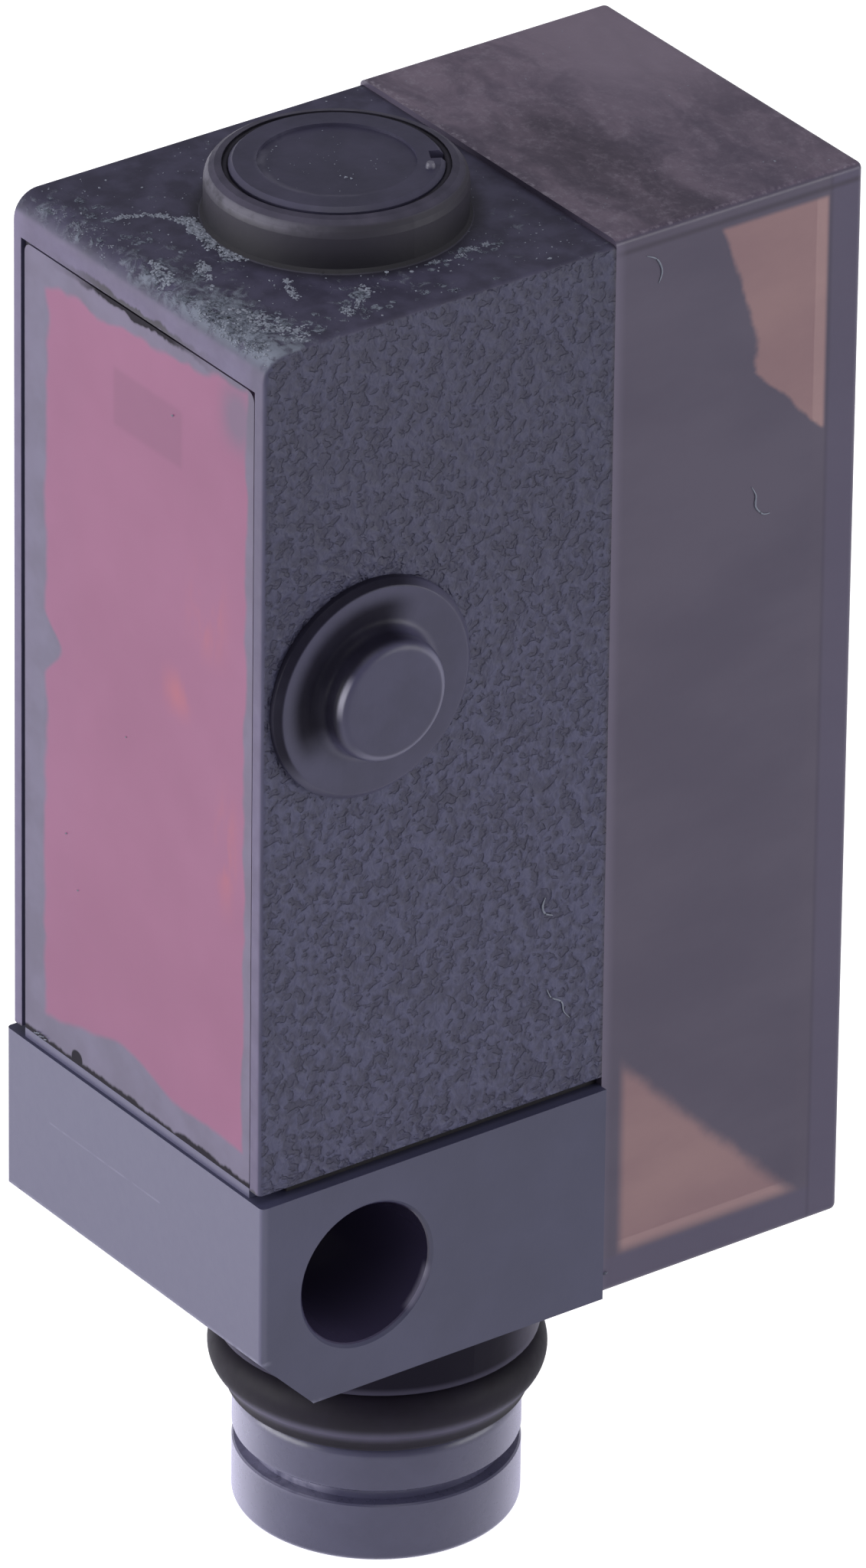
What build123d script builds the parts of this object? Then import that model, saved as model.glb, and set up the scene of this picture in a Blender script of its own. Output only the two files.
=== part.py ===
from build123d import *
import math
import os

os.makedirs("parts", exist_ok=True)

# A miniature reflective optical sensor with a snap-in round plug. Sizes are in millimetres.
# The origin is the centre of the mounting bore. +X runs along the bore and comes out of the button's side,
# the red window looks towards -Y, the smoked cover is at +Y, and the plug hangs down from the base.

# How near an edge's middle must lie to a place to be picked
tolerance = 0.001

# How many flat steps stand for a small rounding on a round piece, and for the boss's larger rim
rounding_steps = 2
rim_steps = 4

# Outer body
body_width = 12.0
body_depth = 20.13
body_height = 33.15
housing_depth = 11.7
base_height = 6.8
base_proud = 0.23
base_front_proud = 0.06
base_chamfer = 1.8
cover_proud = 0.17
wall = 0.9
roof = 1.0
front_wall = 1.5
edge_rounding = 0.15
brow_rounding = 0.8
cover_rounding = 0.22

# Mounting bore
bore_radius = 2.15
bore_from_front = 3.53
bore_above_bottom = 3.56
bore_chamfer = 0.12

# Red window in its recess
window_thickness = 1.0
window_sink = 0.05
bezel = 0.45
top_bezel = 1.2
ledge = 0.85
seal_width = 0.1
window_rounding = 0.3

# Joint between the housing and the base
gasket_height = 0.3
gasket_inset = 0.25
gasket_width = 0.5
spigot_height = 0.8
fit_gap = 0.05

# Boss and adjuster on the roof
boss_from_front = 6.62
boss_radius = 3.65
boss_height = 1.51
boss_rim = 0.48
boss_foot_bevel = 0.12
boss_depth = 1.65
dial_radius = 2.97
dial_gap = 0.18
dial_proud = 0.1
dial_head = 1.15
dial_edge = 0.12
dish_radius = 2.2
dish_depth = 0.1
running_gap = 0.05
stem_radius = 1.2
blade_width = 1.8
blade_thickness = 0.5
blade_depth = 0.55
notch_angle = 62.0
notch_width = 0.45
notch_length = 0.42
notch_depth = 0.45
nub_angle = 45.0
nub_radius = 0.2
nub_height = 0.3
seal_height = 0.56
rotor_radius = 1.6
rotor_height = 1.0
pot_size = 4.6
pot_height = 2.0
pot_drop = 0.65
pot_bevel = 0.3
rotor_clearance = 0.1

# Push button on the wide side
button_above_bottom = 22.1
ring_radius = 3.3
ring_height = 0.35
ring_bevel = 0.15
skirt_radius = 2.45
cap_radius = 1.85
cap_height = 0.9
cap_flare = 0.35
flare_steps = 3
cap_rounding = 0.36
skirt_thickness = 0.4
button_travel = 0.3
button_stem_radius = 1.5
button_lip = 0.2
button_lip_height = 0.3
button_lip_gap = 0.1
button_lip_room = 0.1
switch_size = 3.2
switch_height = 1.6
plunger_radius = 0.7
plunger_proud = 0.7
plunger_hold = 0.3

# Round plug under the base
plug_from_front = 8.4
neck_radius = 4.77
neck_taper = 0.15
neck_height = 2.35
bead_radius = 0.85
bead_outer = 4.83
bead_steps = 6
lip_outer = 4.35
lip_height = 0.35
lip_rounding = 0.17
gland_radius = 3.3
collar_radius = 4.12
collar_shoulder = 0.4
upper_collar_height = 1.43
snap_groove_height = 0.44
snap_groove_depth = 0.38
lower_collar_height = 1.87
collar_foot = 0.2
socket_radius = 3.15
sleeve_core_radius = 3.2
sleeve_reach = 0.8
insert_radius = 2.3
insert_flange = 0.7
insert_face = 1.9
pin_radius = 0.5
pin_tip_bevel = 0.25
pin_circle = 1.55
pin_recess = 1.1
pin_angles = (40, 140, 230, 310)

# Boards and the pieces on them
board = 0.8
board_gap = 0.2
optics_board_top = 4.75
main_board_bottom = 1.7
main_board_drop = 8.05
board_margin = 0.4
chip_size = 5.0
chip_height = 0.9
chip_bevel = 0.22
driver_drop = 8.0
controller_drop = 6.3
flex_thickness = 0.25
flex_width = 4.0
flex_foot = 2.0
flex_bend_start = 0.5
flex_bend = 0.4
small_part = (1.0, 0.6, 0.5)
small_part_pitch = 1.8

# Optics
carrier_gap = 0.2
carrier_lift = 0.6
carrier_depth = 8.7
carrier_wall = 0.8
emitter_from_top = 6.35
emitter_lens_radius = 2.1
receiver_above_carrier = 4.6
receiver_lens_inset = 0.9
receiver_lens_height = 8.2
lens_setback = 0.2
lens_thickness = 2.0
lens_curve = 9.0
mouth_margin = 0.4
throat = 2.6
throat_depth = 1.0
package = 2.0
package_height = 0.9
package_window = 1.3
package_bevel = 0.25
shelf_step = 1.0
shelf_rear_gap = 1.96
shelf_depth = 4.3
shelf_top_gap = 1.95
led_size = (1.6, 0.8, 0.6)
led_spacing = 4.0
led_setback = 0.4
indicator_board_length = 7.2
indicator_board_thickness = 0.4

# Places worked out from the sizes above
half_width = body_width / 2
front_y = -bore_from_front
seam_y = front_y + housing_depth
rear_y = front_y + body_depth
bottom_z = -bore_above_bottom
base_top_z = bottom_z + base_height
top_z = bottom_z + body_height
inner_x = half_width - wall
inner_front_y = front_y + front_wall
inner_top_z = top_z - roof
housing_bottom_z = base_top_z + gasket_height
spigot_top_z = base_top_z + spigot_height
window_x = half_width - bezel - seal_width
window_top_z = top_z - top_bezel - seal_width
window_y = (front_y + window_sink, front_y + window_sink + window_thickness)
boss_y = front_y + boss_from_front
boss_top_z = top_z + boss_height
boss_floor_z = boss_top_z - boss_depth
button_z = bottom_z + button_above_bottom
plug_y = front_y + plug_from_front
neck_bottom_z = bottom_z - neck_height
bead_z = neck_bottom_z - bead_radius
collar_top_z = bead_z - bead_radius - lip_height
groove_top_z = collar_top_z - upper_collar_height
groove_bottom_z = groove_top_z - snap_groove_height
plug_bottom_z = groove_bottom_z - lower_collar_height
socket_roof_z = bottom_z - insert_face + insert_flange
sleeve_top_z = bottom_z + sleeve_reach
cover_top_z = top_z + cover_proud
connector_board_top_z = spigot_top_z + board
carrier_x = inner_x - carrier_gap
carrier_bottom_z = connector_board_top_z + carrier_lift
receiver_lens_width = 2 * (carrier_x - receiver_lens_inset)
carrier_rear_y = inner_front_y + carrier_depth
optics_board_rear_y = carrier_rear_y + board
pot_top_z = inner_top_z - pot_drop
pot_bottom_z = pot_top_z - pot_height
emitter_z = top_z - emitter_from_top
receiver_z = carrier_bottom_z + receiver_above_carrier
cover_inner_rear_y = rear_y - wall
optics_board_top_z = top_z - optics_board_top
controller_z = optics_board_top_z - controller_drop
main_board_front_y = cover_inner_rear_y - board
driver_z = controller_z - driver_drop
shelf_top_z = top_z - shelf_top_gap
shelf_bottom_z = shelf_top_z - shelf_depth
shelf_rear_y = cover_inner_rear_y - shelf_rear_gap
shelf_front_y = optics_board_rear_y + board_gap
led_floor_z = shelf_top_z + indicator_board_thickness
spigot_front_y = inner_front_y + fit_gap
spigot_rear_y = seam_y - gasket_width - fit_gap
spigot_x = inner_x - fit_gap
skirt_back_x = half_width + ring_height - skirt_thickness
skirt_floor_x = skirt_back_x - button_travel - running_gap
stem_bottom_z = pot_top_z + rotor_clearance
button_end_x = inner_x - button_lip_gap - button_lip_height
switch_front_x = button_end_x - plunger_proud
plunger_end_x = switch_front_x - plunger_hold
switch_back_x = switch_front_x - switch_height


def block(x, y, z):
    """A box between two values along each axis."""
    centre = Pos((x[0] + x[1]) / 2, (y[0] + y[1]) / 2, (z[0] + z[1]) / 2)
    return centre * Box(x[1] - x[0], y[1] - y[0], z[1] - z[0])


def span(half):
    """A pair of values the same distance each side of the middle."""
    return (-half, half)


def post_x(radius, x, y, z):
    """A round bar along X between two x values."""
    return Pos((x[0] + x[1]) / 2, y, z) * Rot(0, 90, 0) * Cylinder(radius, x[1] - x[0])


def post_y(radius, y, x, z):
    """A round bar along Y between two y values."""
    return Pos(x, (y[0] + y[1]) / 2, z) * Rot(90, 0, 0) * Cylinder(radius, y[1] - y[0])


def post_z(radius, z, y, x=0.0):
    """A round bar along Z between two z values."""
    return Pos(x, y, (z[0] + z[1]) / 2) * Cylinder(radius, z[1] - z[0])


def quarter(steps):
    """Angles from nought to a right angle in even steps."""
    return [math.pi / 2 * step / steps for step in range(steps + 1)]


def soft_post(radius, z, foot=0.0, head=0.0, steps=rounding_steps):
    """A round bar about the origin's Z axis, with its lower and upper rims softened in a few flat steps."""
    low = [(radius, z[0])]
    if foot:
        low = [(radius - foot + foot * math.sin(turn), z[0] + foot - foot * math.cos(turn))
               for turn in quarter(steps)]
    high = [(radius, z[1])]
    if head:
        high = [(radius - head + head * math.cos(turn), z[1] - head + head * math.sin(turn))
                for turn in quarter(steps)]
    outline = Polyline((0, z[0]), *low, *high, (0, z[1]), close=True)
    return revolve(Plane.XZ * make_face(outline), Axis.Z)


def edges_at(shape, *places):
    """The shape's edges whose middles lie at the given values, each along its own axis."""
    found = shape.edges()
    for axis, value in places:
        found = found.filter_by_position(axis, value - tolerance, value + tolerance)
    return found


def upright(y, z):
    """A plane facing along Y, for the outline of a light tunnel."""
    return Plane(origin=(0, y, z), x_dir=(1, 0, 0), z_dir=(0, 1, 0))


def front_housing():
    """The textured front shell: window recess, roof boss and the seat of the button."""
    shell = block(span(half_width), (front_y, seam_y), (housing_bottom_z, top_z))
    shell = fillet(edges_at(shell, (Axis.Y, front_y), (Axis.Z, top_z)), brow_rounding)
    for side_x in span(half_width):
        long_edges = [edge for edge in edges_at(shell, (Axis.X, side_x))
                      if edge.center().Z > housing_bottom_z + tolerance
                      and edge.center().Y < seam_y - tolerance]
        shell = fillet(long_edges, edge_rounding)
    boss = soft_post(boss_radius, (top_z, boss_top_z), head=boss_rim, steps=rim_steps)
    shell += Pos(0, boss_y, 0) * boss
    boss_foot = edges_at(shell, (Axis.Z, top_z)).filter_by(GeomType.CIRCLE)
    shell = chamfer(boss_foot, boss_foot_bevel)
    shell -= block(span(inner_x), (inner_front_y, seam_y), (housing_bottom_z, inner_top_z))
    recess_x = window_x + seal_width
    recess_z = (housing_bottom_z, window_top_z + seal_width)
    shell -= block(span(recess_x), (front_y, window_y[1]), recess_z)
    light_way_z = (housing_bottom_z + ledge, window_top_z - ledge)
    shell -= block(span(window_x - ledge), (front_y, inner_front_y), light_way_z)
    shell -= post_z(dial_radius + dial_gap, (boss_floor_z, boss_top_z), boss_y)
    shell -= post_z(stem_radius + running_gap, (inner_top_z, boss_floor_z), boss_y)
    shell -= post_x(skirt_radius + running_gap, (skirt_floor_x, half_width), 0, button_z)
    shell -= post_x(button_stem_radius + running_gap, (inner_x, half_width), 0, button_z)
    return shell


def front_window():
    """The red window, a flat plate with its two upper corners rounded."""
    plate = block(span(window_x), window_y, (housing_bottom_z, window_top_z))
    corners = plate.edges().filter_by(Axis.Y).group_by(Axis.Z)[-1]
    return fillet(corners, window_rounding)


def window_seal():
    """The dark bead of sealant between the window and the sides of its recess."""
    outer_x = window_x + seal_width
    bead_y = (window_y[0] + seal_width, window_y[1])
    bead = block(span(outer_x), bead_y, (housing_bottom_z, window_top_z + seal_width))
    return bead - front_window()


def base_block():
    """The smooth block at the foot: mounting bore, spigot into the housing and the neck of the plug."""
    outer_x = half_width + base_proud
    base_front_y = front_y - base_front_proud
    base = block(span(outer_x), (base_front_y, seam_y), (bottom_z, base_top_z))
    base = chamfer(edges_at(base, (Axis.Y, base_front_y), (Axis.Z, bottom_z)), base_chamfer)
    base = fillet(edges_at(base, (Axis.Y, base_front_y)).filter_by(Axis.Z), edge_rounding)
    base += block(span(spigot_x), (spigot_front_y, spigot_rear_y), (base_top_z, spigot_top_z))
    base += block(span(window_x), window_y, (base_top_z, housing_bottom_z))
    neck = Cone(neck_radius - neck_taper, neck_radius, neck_height)
    base += Pos(0, plug_y, bottom_z - neck_height / 2) * neck
    base -= post_x(bore_radius, span(outer_x), 0, 0)
    for side_x in span(outer_x):
        rim = edges_at(base, (Axis.X, side_x)).filter_by(GeomType.CIRCLE)
        base = chamfer(rim, bore_chamfer)
    base -= post_z(sleeve_core_radius + fit_gap, (neck_bottom_z, sleeve_top_z), plug_y)
    base -= post_z(insert_radius + fit_gap, (sleeve_top_z, spigot_top_z), plug_y)
    return base


def base_gasket():
    """The flat gasket between the base and the housing, set back to leave a dark groove."""
    outer_x = half_width - gasket_inset
    outer_y = (window_y[1] + fit_gap, seam_y)
    sheet = block(span(outer_x), outer_y, (base_top_z, housing_bottom_z))
    hole_x = span(spigot_x + fit_gap)
    hole_y = (spigot_front_y - fit_gap, spigot_rear_y + fit_gap)
    return sheet - block(hole_x, hole_y, (base_top_z, housing_bottom_z))


def rear_cover():
    """The smoked rear shell, open towards the housing and rounded on its outer edges."""
    shell = block(span(half_width), (seam_y, rear_y), (bottom_z, cover_top_z))
    rim = edges_at(shell, (Axis.Y, seam_y))
    rounded = [edge for edge in shell.edges() if edge not in rim]
    shell = fillet(rounded, cover_rounding)
    inside_z = (bottom_z + wall, cover_top_z - wall)
    return shell - block(span(inner_x), (seam_y, cover_inner_rear_y), inside_z)


def seal_ring():
    """The rubber ring of the plug: a round bead over a thinner lip, seated on the sleeve's gland."""
    bead_middle = bead_outer - bead_radius
    turns = [math.pi * (step / bead_steps - 1 / 2) for step in range(bead_steps + 1)]
    points = [(bead_middle + bead_radius * math.cos(turn), bead_z + bead_radius * math.sin(turn))
              for turn in turns]
    outline = Polyline((gland_radius, points[0][1]), *points, (gland_radius, points[-1][1]), close=True)
    ring = revolve(Plane.XZ * make_face(outline), Axis.Z)
    ring += soft_post(lip_outer, (collar_top_z, bead_z), foot=lip_rounding)
    return Pos(0, plug_y, 0) * (ring - post_z(gland_radius, (collar_top_z, neck_bottom_z), 0))


def plug_sleeve():
    """The snap-in sleeve: gland, two collars with the snap groove between them, and the open socket."""
    sleeve = post_z(sleeve_core_radius, (neck_bottom_z, sleeve_top_z), 0)
    sleeve += post_z(gland_radius, (collar_top_z, neck_bottom_z), 0)
    sleeve += soft_post(collar_radius, (groove_top_z, collar_top_z), head=collar_shoulder)
    sleeve += post_z(collar_radius - snap_groove_depth, (groove_bottom_z, groove_top_z), 0)
    sleeve += soft_post(collar_radius, (plug_bottom_z, groove_bottom_z), foot=collar_foot)
    sleeve -= post_z(socket_radius, (plug_bottom_z, socket_roof_z), 0)
    sleeve -= post_z(insert_radius + fit_gap, (socket_roof_z, sleeve_top_z), 0)
    return Pos(0, plug_y, 0) * sleeve


def contact_insert():
    """The insulator that closes the socket and carries the pins up through the base."""
    insert = post_z(socket_radius - fit_gap, (socket_roof_z - insert_flange, socket_roof_z), plug_y)
    insert += post_z(insert_radius, (socket_roof_z, spigot_top_z), plug_y)
    for angle in pin_angles:
        x, y = pin_place(angle)
        insert -= post_z(pin_radius + fit_gap / 2, (socket_roof_z - insert_flange, spigot_top_z), y, x)
    return insert


def pin_place(angle):
    """Where the pin at one angle round the plug's axis stands."""
    turn = math.radians(angle)
    return pin_circle * math.cos(turn), plug_y + pin_circle * math.sin(turn)


def contact_pin(angle):
    """One contact pin with a bevelled tip, soldered to the underside of the connector board."""
    x, y = pin_place(angle)
    tip_z = plug_bottom_z + pin_recess
    pin = post_z(pin_radius, (tip_z, spigot_top_z), 0)
    pin = chamfer(edges_at(pin, (Axis.Z, tip_z)), pin_tip_bevel)
    return Pos(x, y, 0) * pin


def connector_board():
    """The small flat board on the spigot that the pins are soldered to."""
    return block(span(carrier_x - board_margin), (spigot_front_y, seam_y - board_margin),
                 (spigot_top_z, connector_board_top_z))


def optics_board():
    """The upright board behind the light tunnels."""
    return block(span(carrier_x - board_margin), (carrier_rear_y, optics_board_rear_y),
                 (connector_board_top_z, optics_board_top_z))


def main_board():
    """The rear board, seated on the back wall of the cover."""
    return block(span(inner_x - fit_gap), (main_board_front_y, cover_inner_rear_y),
                 (bottom_z + main_board_bottom, top_z - main_board_drop))


def optics_carrier():
    """The dark moulded frame: two light tunnels, the switch pocket and the shelf under the cover's roof."""
    frame = block(span(carrier_x), (inner_front_y, carrier_rear_y), (carrier_bottom_z, pot_bottom_z))
    bridge_y = (carrier_rear_y - carrier_wall, shelf_front_y)
    frame += block(span(carrier_x), bridge_y, (optics_board_top_z + board_gap, shelf_top_z))
    shelf = block(span(carrier_x), (shelf_front_y, shelf_rear_y), (shelf_bottom_z, shelf_top_z))
    brow = edges_at(shelf, (Axis.Y, shelf_rear_y), (Axis.Z, shelf_top_z))
    frame += chamfer(brow, shelf_step)
    frame -= block(span(carrier_x - carrier_wall),
                   (shelf_front_y + carrier_wall, shelf_rear_y - carrier_wall),
                   (shelf_bottom_z, shelf_top_z - shelf_step - carrier_wall))
    lens_seat_y = (inner_front_y, inner_front_y + lens_setback + lens_thickness)
    throat_y = carrier_rear_y - throat_depth
    frame -= post_y(emitter_lens_radius + fit_gap, lens_seat_y, 0, emitter_z)
    tunnel = Cone(throat / 2, emitter_lens_radius - mouth_margin, throat_y - lens_seat_y[1])
    frame -= Pos(0, (lens_seat_y[1] + throat_y) / 2, emitter_z) * Rot(90, 0, 0) * tunnel
    receiver_x = span(receiver_lens_width / 2 + fit_gap)
    receiver_lens_z = (receiver_z - receiver_lens_height / 2 - fit_gap,
                       receiver_z + receiver_lens_height / 2 + fit_gap)
    frame -= block(receiver_x, lens_seat_y, receiver_lens_z)
    mouth_size = (receiver_lens_width - 2 * mouth_margin, receiver_lens_height - 2 * mouth_margin)
    mouth = Rectangle(*mouth_size)
    frame -= loft([upright(lens_seat_y[1], receiver_z) * mouth,
                   upright(throat_y, receiver_z) * Rectangle(throat, throat)], ruled=True)
    for z in (emitter_z, receiver_z):
        frame -= block(span(throat / 2), (throat_y, carrier_rear_y), (z - throat / 2, z + throat / 2))
    half_pocket = switch_size / 2 + fit_gap
    frame -= block((switch_back_x, carrier_x), span(half_pocket),
                   (button_z - half_pocket, button_z + half_pocket))
    lip_room_x = (button_end_x - button_travel - board_gap, carrier_x)
    frame -= post_x(button_stem_radius + button_lip + button_lip_room, lip_room_x, 0, button_z)
    return frame


def emitter_lens():
    """The round lens in front of the emitter, flat towards the window."""
    lens_y = (inner_front_y + lens_setback, inner_front_y + lens_setback + lens_thickness)
    body = post_y(emitter_lens_radius, lens_y, 0, emitter_z)
    return body & Pos(0, lens_y[1] - lens_curve, emitter_z) * Sphere(lens_curve)


def receiver_lens():
    """The large rectangular lens in front of the receiver."""
    lens_y = (inner_front_y + lens_setback, inner_front_y + lens_setback + lens_thickness)
    half_height = receiver_lens_height / 2
    body = block(span(receiver_lens_width / 2), lens_y, (receiver_z - half_height, receiver_z + half_height))
    return body & Pos(0, lens_y[1] - lens_curve, receiver_z) * Sphere(lens_curve)


def light_package(z):
    """The emitter or receiver package on the front of the optics board, with a raised bevelled window."""
    step_y = carrier_rear_y - package_height / 2
    case = block(span(package / 2), (step_y, carrier_rear_y), (z - package / 2, z + package / 2))
    half_window = package_window / 2
    tip_y = carrier_rear_y - package_height
    window = block(span(half_window), (tip_y, step_y), (z - half_window, z + half_window))
    return case + chamfer(edges_at(window, (Axis.Y, tip_y)), package_bevel)


def controller_chip():
    """The controller on the rear of the optics board."""
    z = (controller_z - chip_size / 2, controller_z + chip_size / 2)
    return chip(z, (optics_board_rear_y, optics_board_rear_y + chip_height))


def driver_chip():
    """The output driver on the front of the main board."""
    z = (driver_z - chip_size / 2, driver_z + chip_size / 2)
    return chip(z, (main_board_front_y - chip_height, main_board_front_y))


def chip(z, y):
    """A square package with bevelled upright edges."""
    case = block(span(chip_size / 2), y, z)
    return chamfer(case.edges().filter_by(Axis.Y), chip_bevel)


def board_parts():
    """The row of small parts on the front of the main board, above and below the driver."""
    length, height, thickness = small_part
    row = Part()
    for side in (-1, 1):
        z = driver_z + side * (chip_size / 2 + small_part_pitch)
        for place in (-1, 0, 1):
            x = place * small_part_pitch
            row += block((x - length / 2, x + length / 2),
                         (main_board_front_y - thickness, main_board_front_y),
                         (z - height / 2, z + height / 2))
    return row


def flex_link():
    """The flat ribbon that joins the two boards, with a foot soldered on each."""
    near = optics_board_rear_y + flex_thickness / 2
    far = main_board_front_y - flex_thickness / 2
    high = controller_z + chip_size / 2 + board_gap + flex_foot
    low = high - flex_foot
    path = FilletPolyline((near, high), (near, low + flex_bend_start), (far, low), (far, low - flex_foot),
                          radius=flex_bend)
    ribbon = Plane.YZ * trace(path, line_width=flex_thickness)
    return extrude(ribbon, amount=flex_width / 2, both=True)


def indicator_board():
    """The small board on the shelf that carries the two indicators."""
    rear = shelf_rear_y - shelf_step - board_gap
    return block(span(indicator_board_length / 2), (shelf_front_y, rear), (shelf_top_z, led_floor_z))


def status_led(side):
    """One indicator on the shelf's board, under the cover's roof."""
    x = side * led_spacing / 2
    rear = shelf_rear_y - shelf_step - led_setback
    return block((x - led_size[0] / 2, x + led_size[0] / 2), (rear - led_size[1], rear),
                 (led_floor_z, led_floor_z + led_size[2]))


def adjuster_dial():
    """The round adjuster: dished head with an index notch and a nub, and a stem with a driving blade."""
    head_top = boss_top_z + dial_proud
    head_bottom = head_top - dial_head
    head = post_z(dial_radius, (head_bottom, head_top), 0)
    head = chamfer(edges_at(head, (Axis.Z, head_top)), dial_edge)
    head -= post_z(dish_radius, (head_top - dish_depth, head_top), 0)
    slot_x = (dial_radius - notch_length, dial_radius)
    slot = block(slot_x, span(notch_width / 2), (head_top - notch_depth, head_top))
    head -= Rot(0, 0, notch_angle) * slot
    nub_reach = (dial_radius + dish_radius) / 2
    nub = Pos(nub_reach, 0, head_top) * Cone(nub_radius, nub_radius / 2, nub_height)
    head += Rot(0, 0, nub_angle) * nub
    head += post_z(stem_radius, (stem_bottom_z, head_bottom), 0)
    blade_z = (stem_bottom_z - blade_depth, stem_bottom_z)
    head += block(span(blade_width / 2), span(blade_thickness / 2), blade_z)
    return Pos(0, boss_y, 0) * head


def adjuster_seal():
    """The ring under the adjuster's head, seated on the floor of the boss."""
    z = (boss_floor_z, boss_floor_z + seal_height)
    middle = (dial_radius + stem_radius) / 2
    ring = post_z(middle + seal_height / 2, z, boss_y)
    return ring - post_z(middle - seal_height / 2, z, boss_y)


def potentiometer_rotor():
    """The slotted rotor that the adjuster's blade turns."""
    rotor = post_z(rotor_radius, (stem_bottom_z - rotor_height, stem_bottom_z), boss_y)
    slot_y = (boss_y - blade_thickness / 2 - fit_gap, boss_y + blade_thickness / 2 + fit_gap)
    return rotor - block(span(rotor_radius), slot_y, (stem_bottom_z - blade_depth - fit_gap, stem_bottom_z))


def potentiometer():
    """The square body of the potentiometer, with the rotor's well in its top."""
    half = pot_size / 2
    case = block(span(half), (boss_y - half, boss_y + half), (pot_bottom_z, pot_top_z))
    case = chamfer(case.edges().filter_by(Axis.Z), pot_bevel)
    well_z = (stem_bottom_z - rotor_height - running_gap, pot_top_z)
    return case - post_z(rotor_radius + running_gap, well_z, boss_y)


def button_ring():
    """The raised ring round the push button."""
    ring = post_x(ring_radius, (half_width, half_width + ring_height), 0, button_z)
    ring = chamfer(edges_at(ring, (Axis.X, half_width + ring_height)), ring_bevel)
    return ring - post_x(skirt_radius + running_gap, (half_width, half_width + ring_height), 0, button_z)


def button_cap():
    """The push button: a skirt that flows up into the cap, and a stem with a snap lip inside the wall."""
    face_x = half_width + ring_height
    top_x = face_x + cap_height
    flare = [(face_x + cap_flare - cap_flare * math.cos(turn),
              cap_radius + cap_flare - cap_flare * math.sin(turn))
             for turn in quarter(flare_steps)]
    rim = [(top_x - cap_rounding + cap_rounding * math.sin(turn),
            cap_radius - cap_rounding + cap_rounding * math.cos(turn)) for turn in quarter(rounding_steps)]
    skirt = [(skirt_back_x, 0), (skirt_back_x, skirt_radius), (face_x, skirt_radius)]
    cap = revolve(make_face(Polyline(*skirt, *flare, *rim, (top_x, 0), close=True)), Axis.X)
    cap += post_x(button_stem_radius, (button_end_x, skirt_back_x), 0, 0)
    lip_x = (button_end_x, button_end_x + button_lip_height)
    cap += post_x(button_stem_radius + button_lip, lip_x, 0, 0)
    return Pos(0, 0, button_z) * cap


def switch_plunger():
    """The plunger of the switch, pushed by the button's stem."""
    return post_x(plunger_radius, (plunger_end_x, button_end_x), 0, button_z)


def tact_switch():
    """The switch body in the carrier's side pocket."""
    half = switch_size / 2
    case = block((switch_back_x, switch_front_x), span(half), (button_z - half, button_z + half))
    case = chamfer(case.edges().filter_by(Axis.X), edge_rounding)
    well = (plunger_end_x - button_travel - running_gap, switch_front_x)
    return case - post_x(plunger_radius + running_gap, well, 0, button_z)


parts = {
    "front_housing": front_housing(),
    "front_window": front_window(),
    "window_seal": window_seal(),
    "base_block": base_block(),
    "base_gasket": base_gasket(),
    "rear_cover": rear_cover(),
    "seal_ring": seal_ring(),
    "plug_sleeve": plug_sleeve(),
    "contact_insert": contact_insert(),
    "connector_board": connector_board(),
    "optics_board": optics_board(),
    "main_board": main_board(),
    "optics_carrier": optics_carrier(),
    "emitter_lens": emitter_lens(),
    "receiver_lens": receiver_lens(),
    "emitter_led": light_package(emitter_z),
    "receiver_diode": light_package(receiver_z),
    "controller_chip": controller_chip(),
    "driver_chip": driver_chip(),
    "board_parts": board_parts(),
    "flex_link": flex_link(),
    "indicator_board": indicator_board(),
    "status_led_green": status_led(-1),
    "status_led_yellow": status_led(1),
    "adjuster_dial": adjuster_dial(),
    "adjuster_seal": adjuster_seal(),
    "potentiometer_rotor": potentiometer_rotor(),
    "potentiometer": potentiometer(),
    "button_ring": button_ring(),
    "button_cap": button_cap(),
    "switch_plunger": switch_plunger(),
    "tact_switch": tact_switch(),
}
for number, angle in enumerate(pin_angles, start=1):
    parts[f"contact_pin_{number}"] = contact_pin(angle)
for name, shape in parts.items():
    export_step(shape, f"parts/{name}.step")
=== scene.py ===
import math
import random

import bmesh
import bpy
from mathutils import Matrix, Vector, noise


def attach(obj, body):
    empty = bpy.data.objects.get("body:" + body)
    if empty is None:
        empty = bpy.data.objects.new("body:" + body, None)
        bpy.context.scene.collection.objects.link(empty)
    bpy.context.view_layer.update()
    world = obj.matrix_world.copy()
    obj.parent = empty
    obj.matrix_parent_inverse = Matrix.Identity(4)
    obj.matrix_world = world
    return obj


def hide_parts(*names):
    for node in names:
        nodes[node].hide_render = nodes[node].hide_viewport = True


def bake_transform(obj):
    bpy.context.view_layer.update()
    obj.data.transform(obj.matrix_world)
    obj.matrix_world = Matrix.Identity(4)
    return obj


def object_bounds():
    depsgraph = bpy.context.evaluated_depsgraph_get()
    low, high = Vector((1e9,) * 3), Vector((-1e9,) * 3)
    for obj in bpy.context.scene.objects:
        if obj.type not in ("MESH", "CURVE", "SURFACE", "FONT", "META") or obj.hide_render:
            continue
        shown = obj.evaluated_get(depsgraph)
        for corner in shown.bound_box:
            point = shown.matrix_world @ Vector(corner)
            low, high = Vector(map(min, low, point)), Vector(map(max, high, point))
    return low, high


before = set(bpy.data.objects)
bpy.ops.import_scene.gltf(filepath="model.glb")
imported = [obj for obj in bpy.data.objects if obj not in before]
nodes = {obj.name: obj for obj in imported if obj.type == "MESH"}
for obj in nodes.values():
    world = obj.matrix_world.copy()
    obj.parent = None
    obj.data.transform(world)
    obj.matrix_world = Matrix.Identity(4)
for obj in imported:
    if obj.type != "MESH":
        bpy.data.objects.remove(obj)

cad_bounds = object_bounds()
scene = bpy.context.scene
MM = 0.001

# Places on the object, in millimetres

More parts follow.
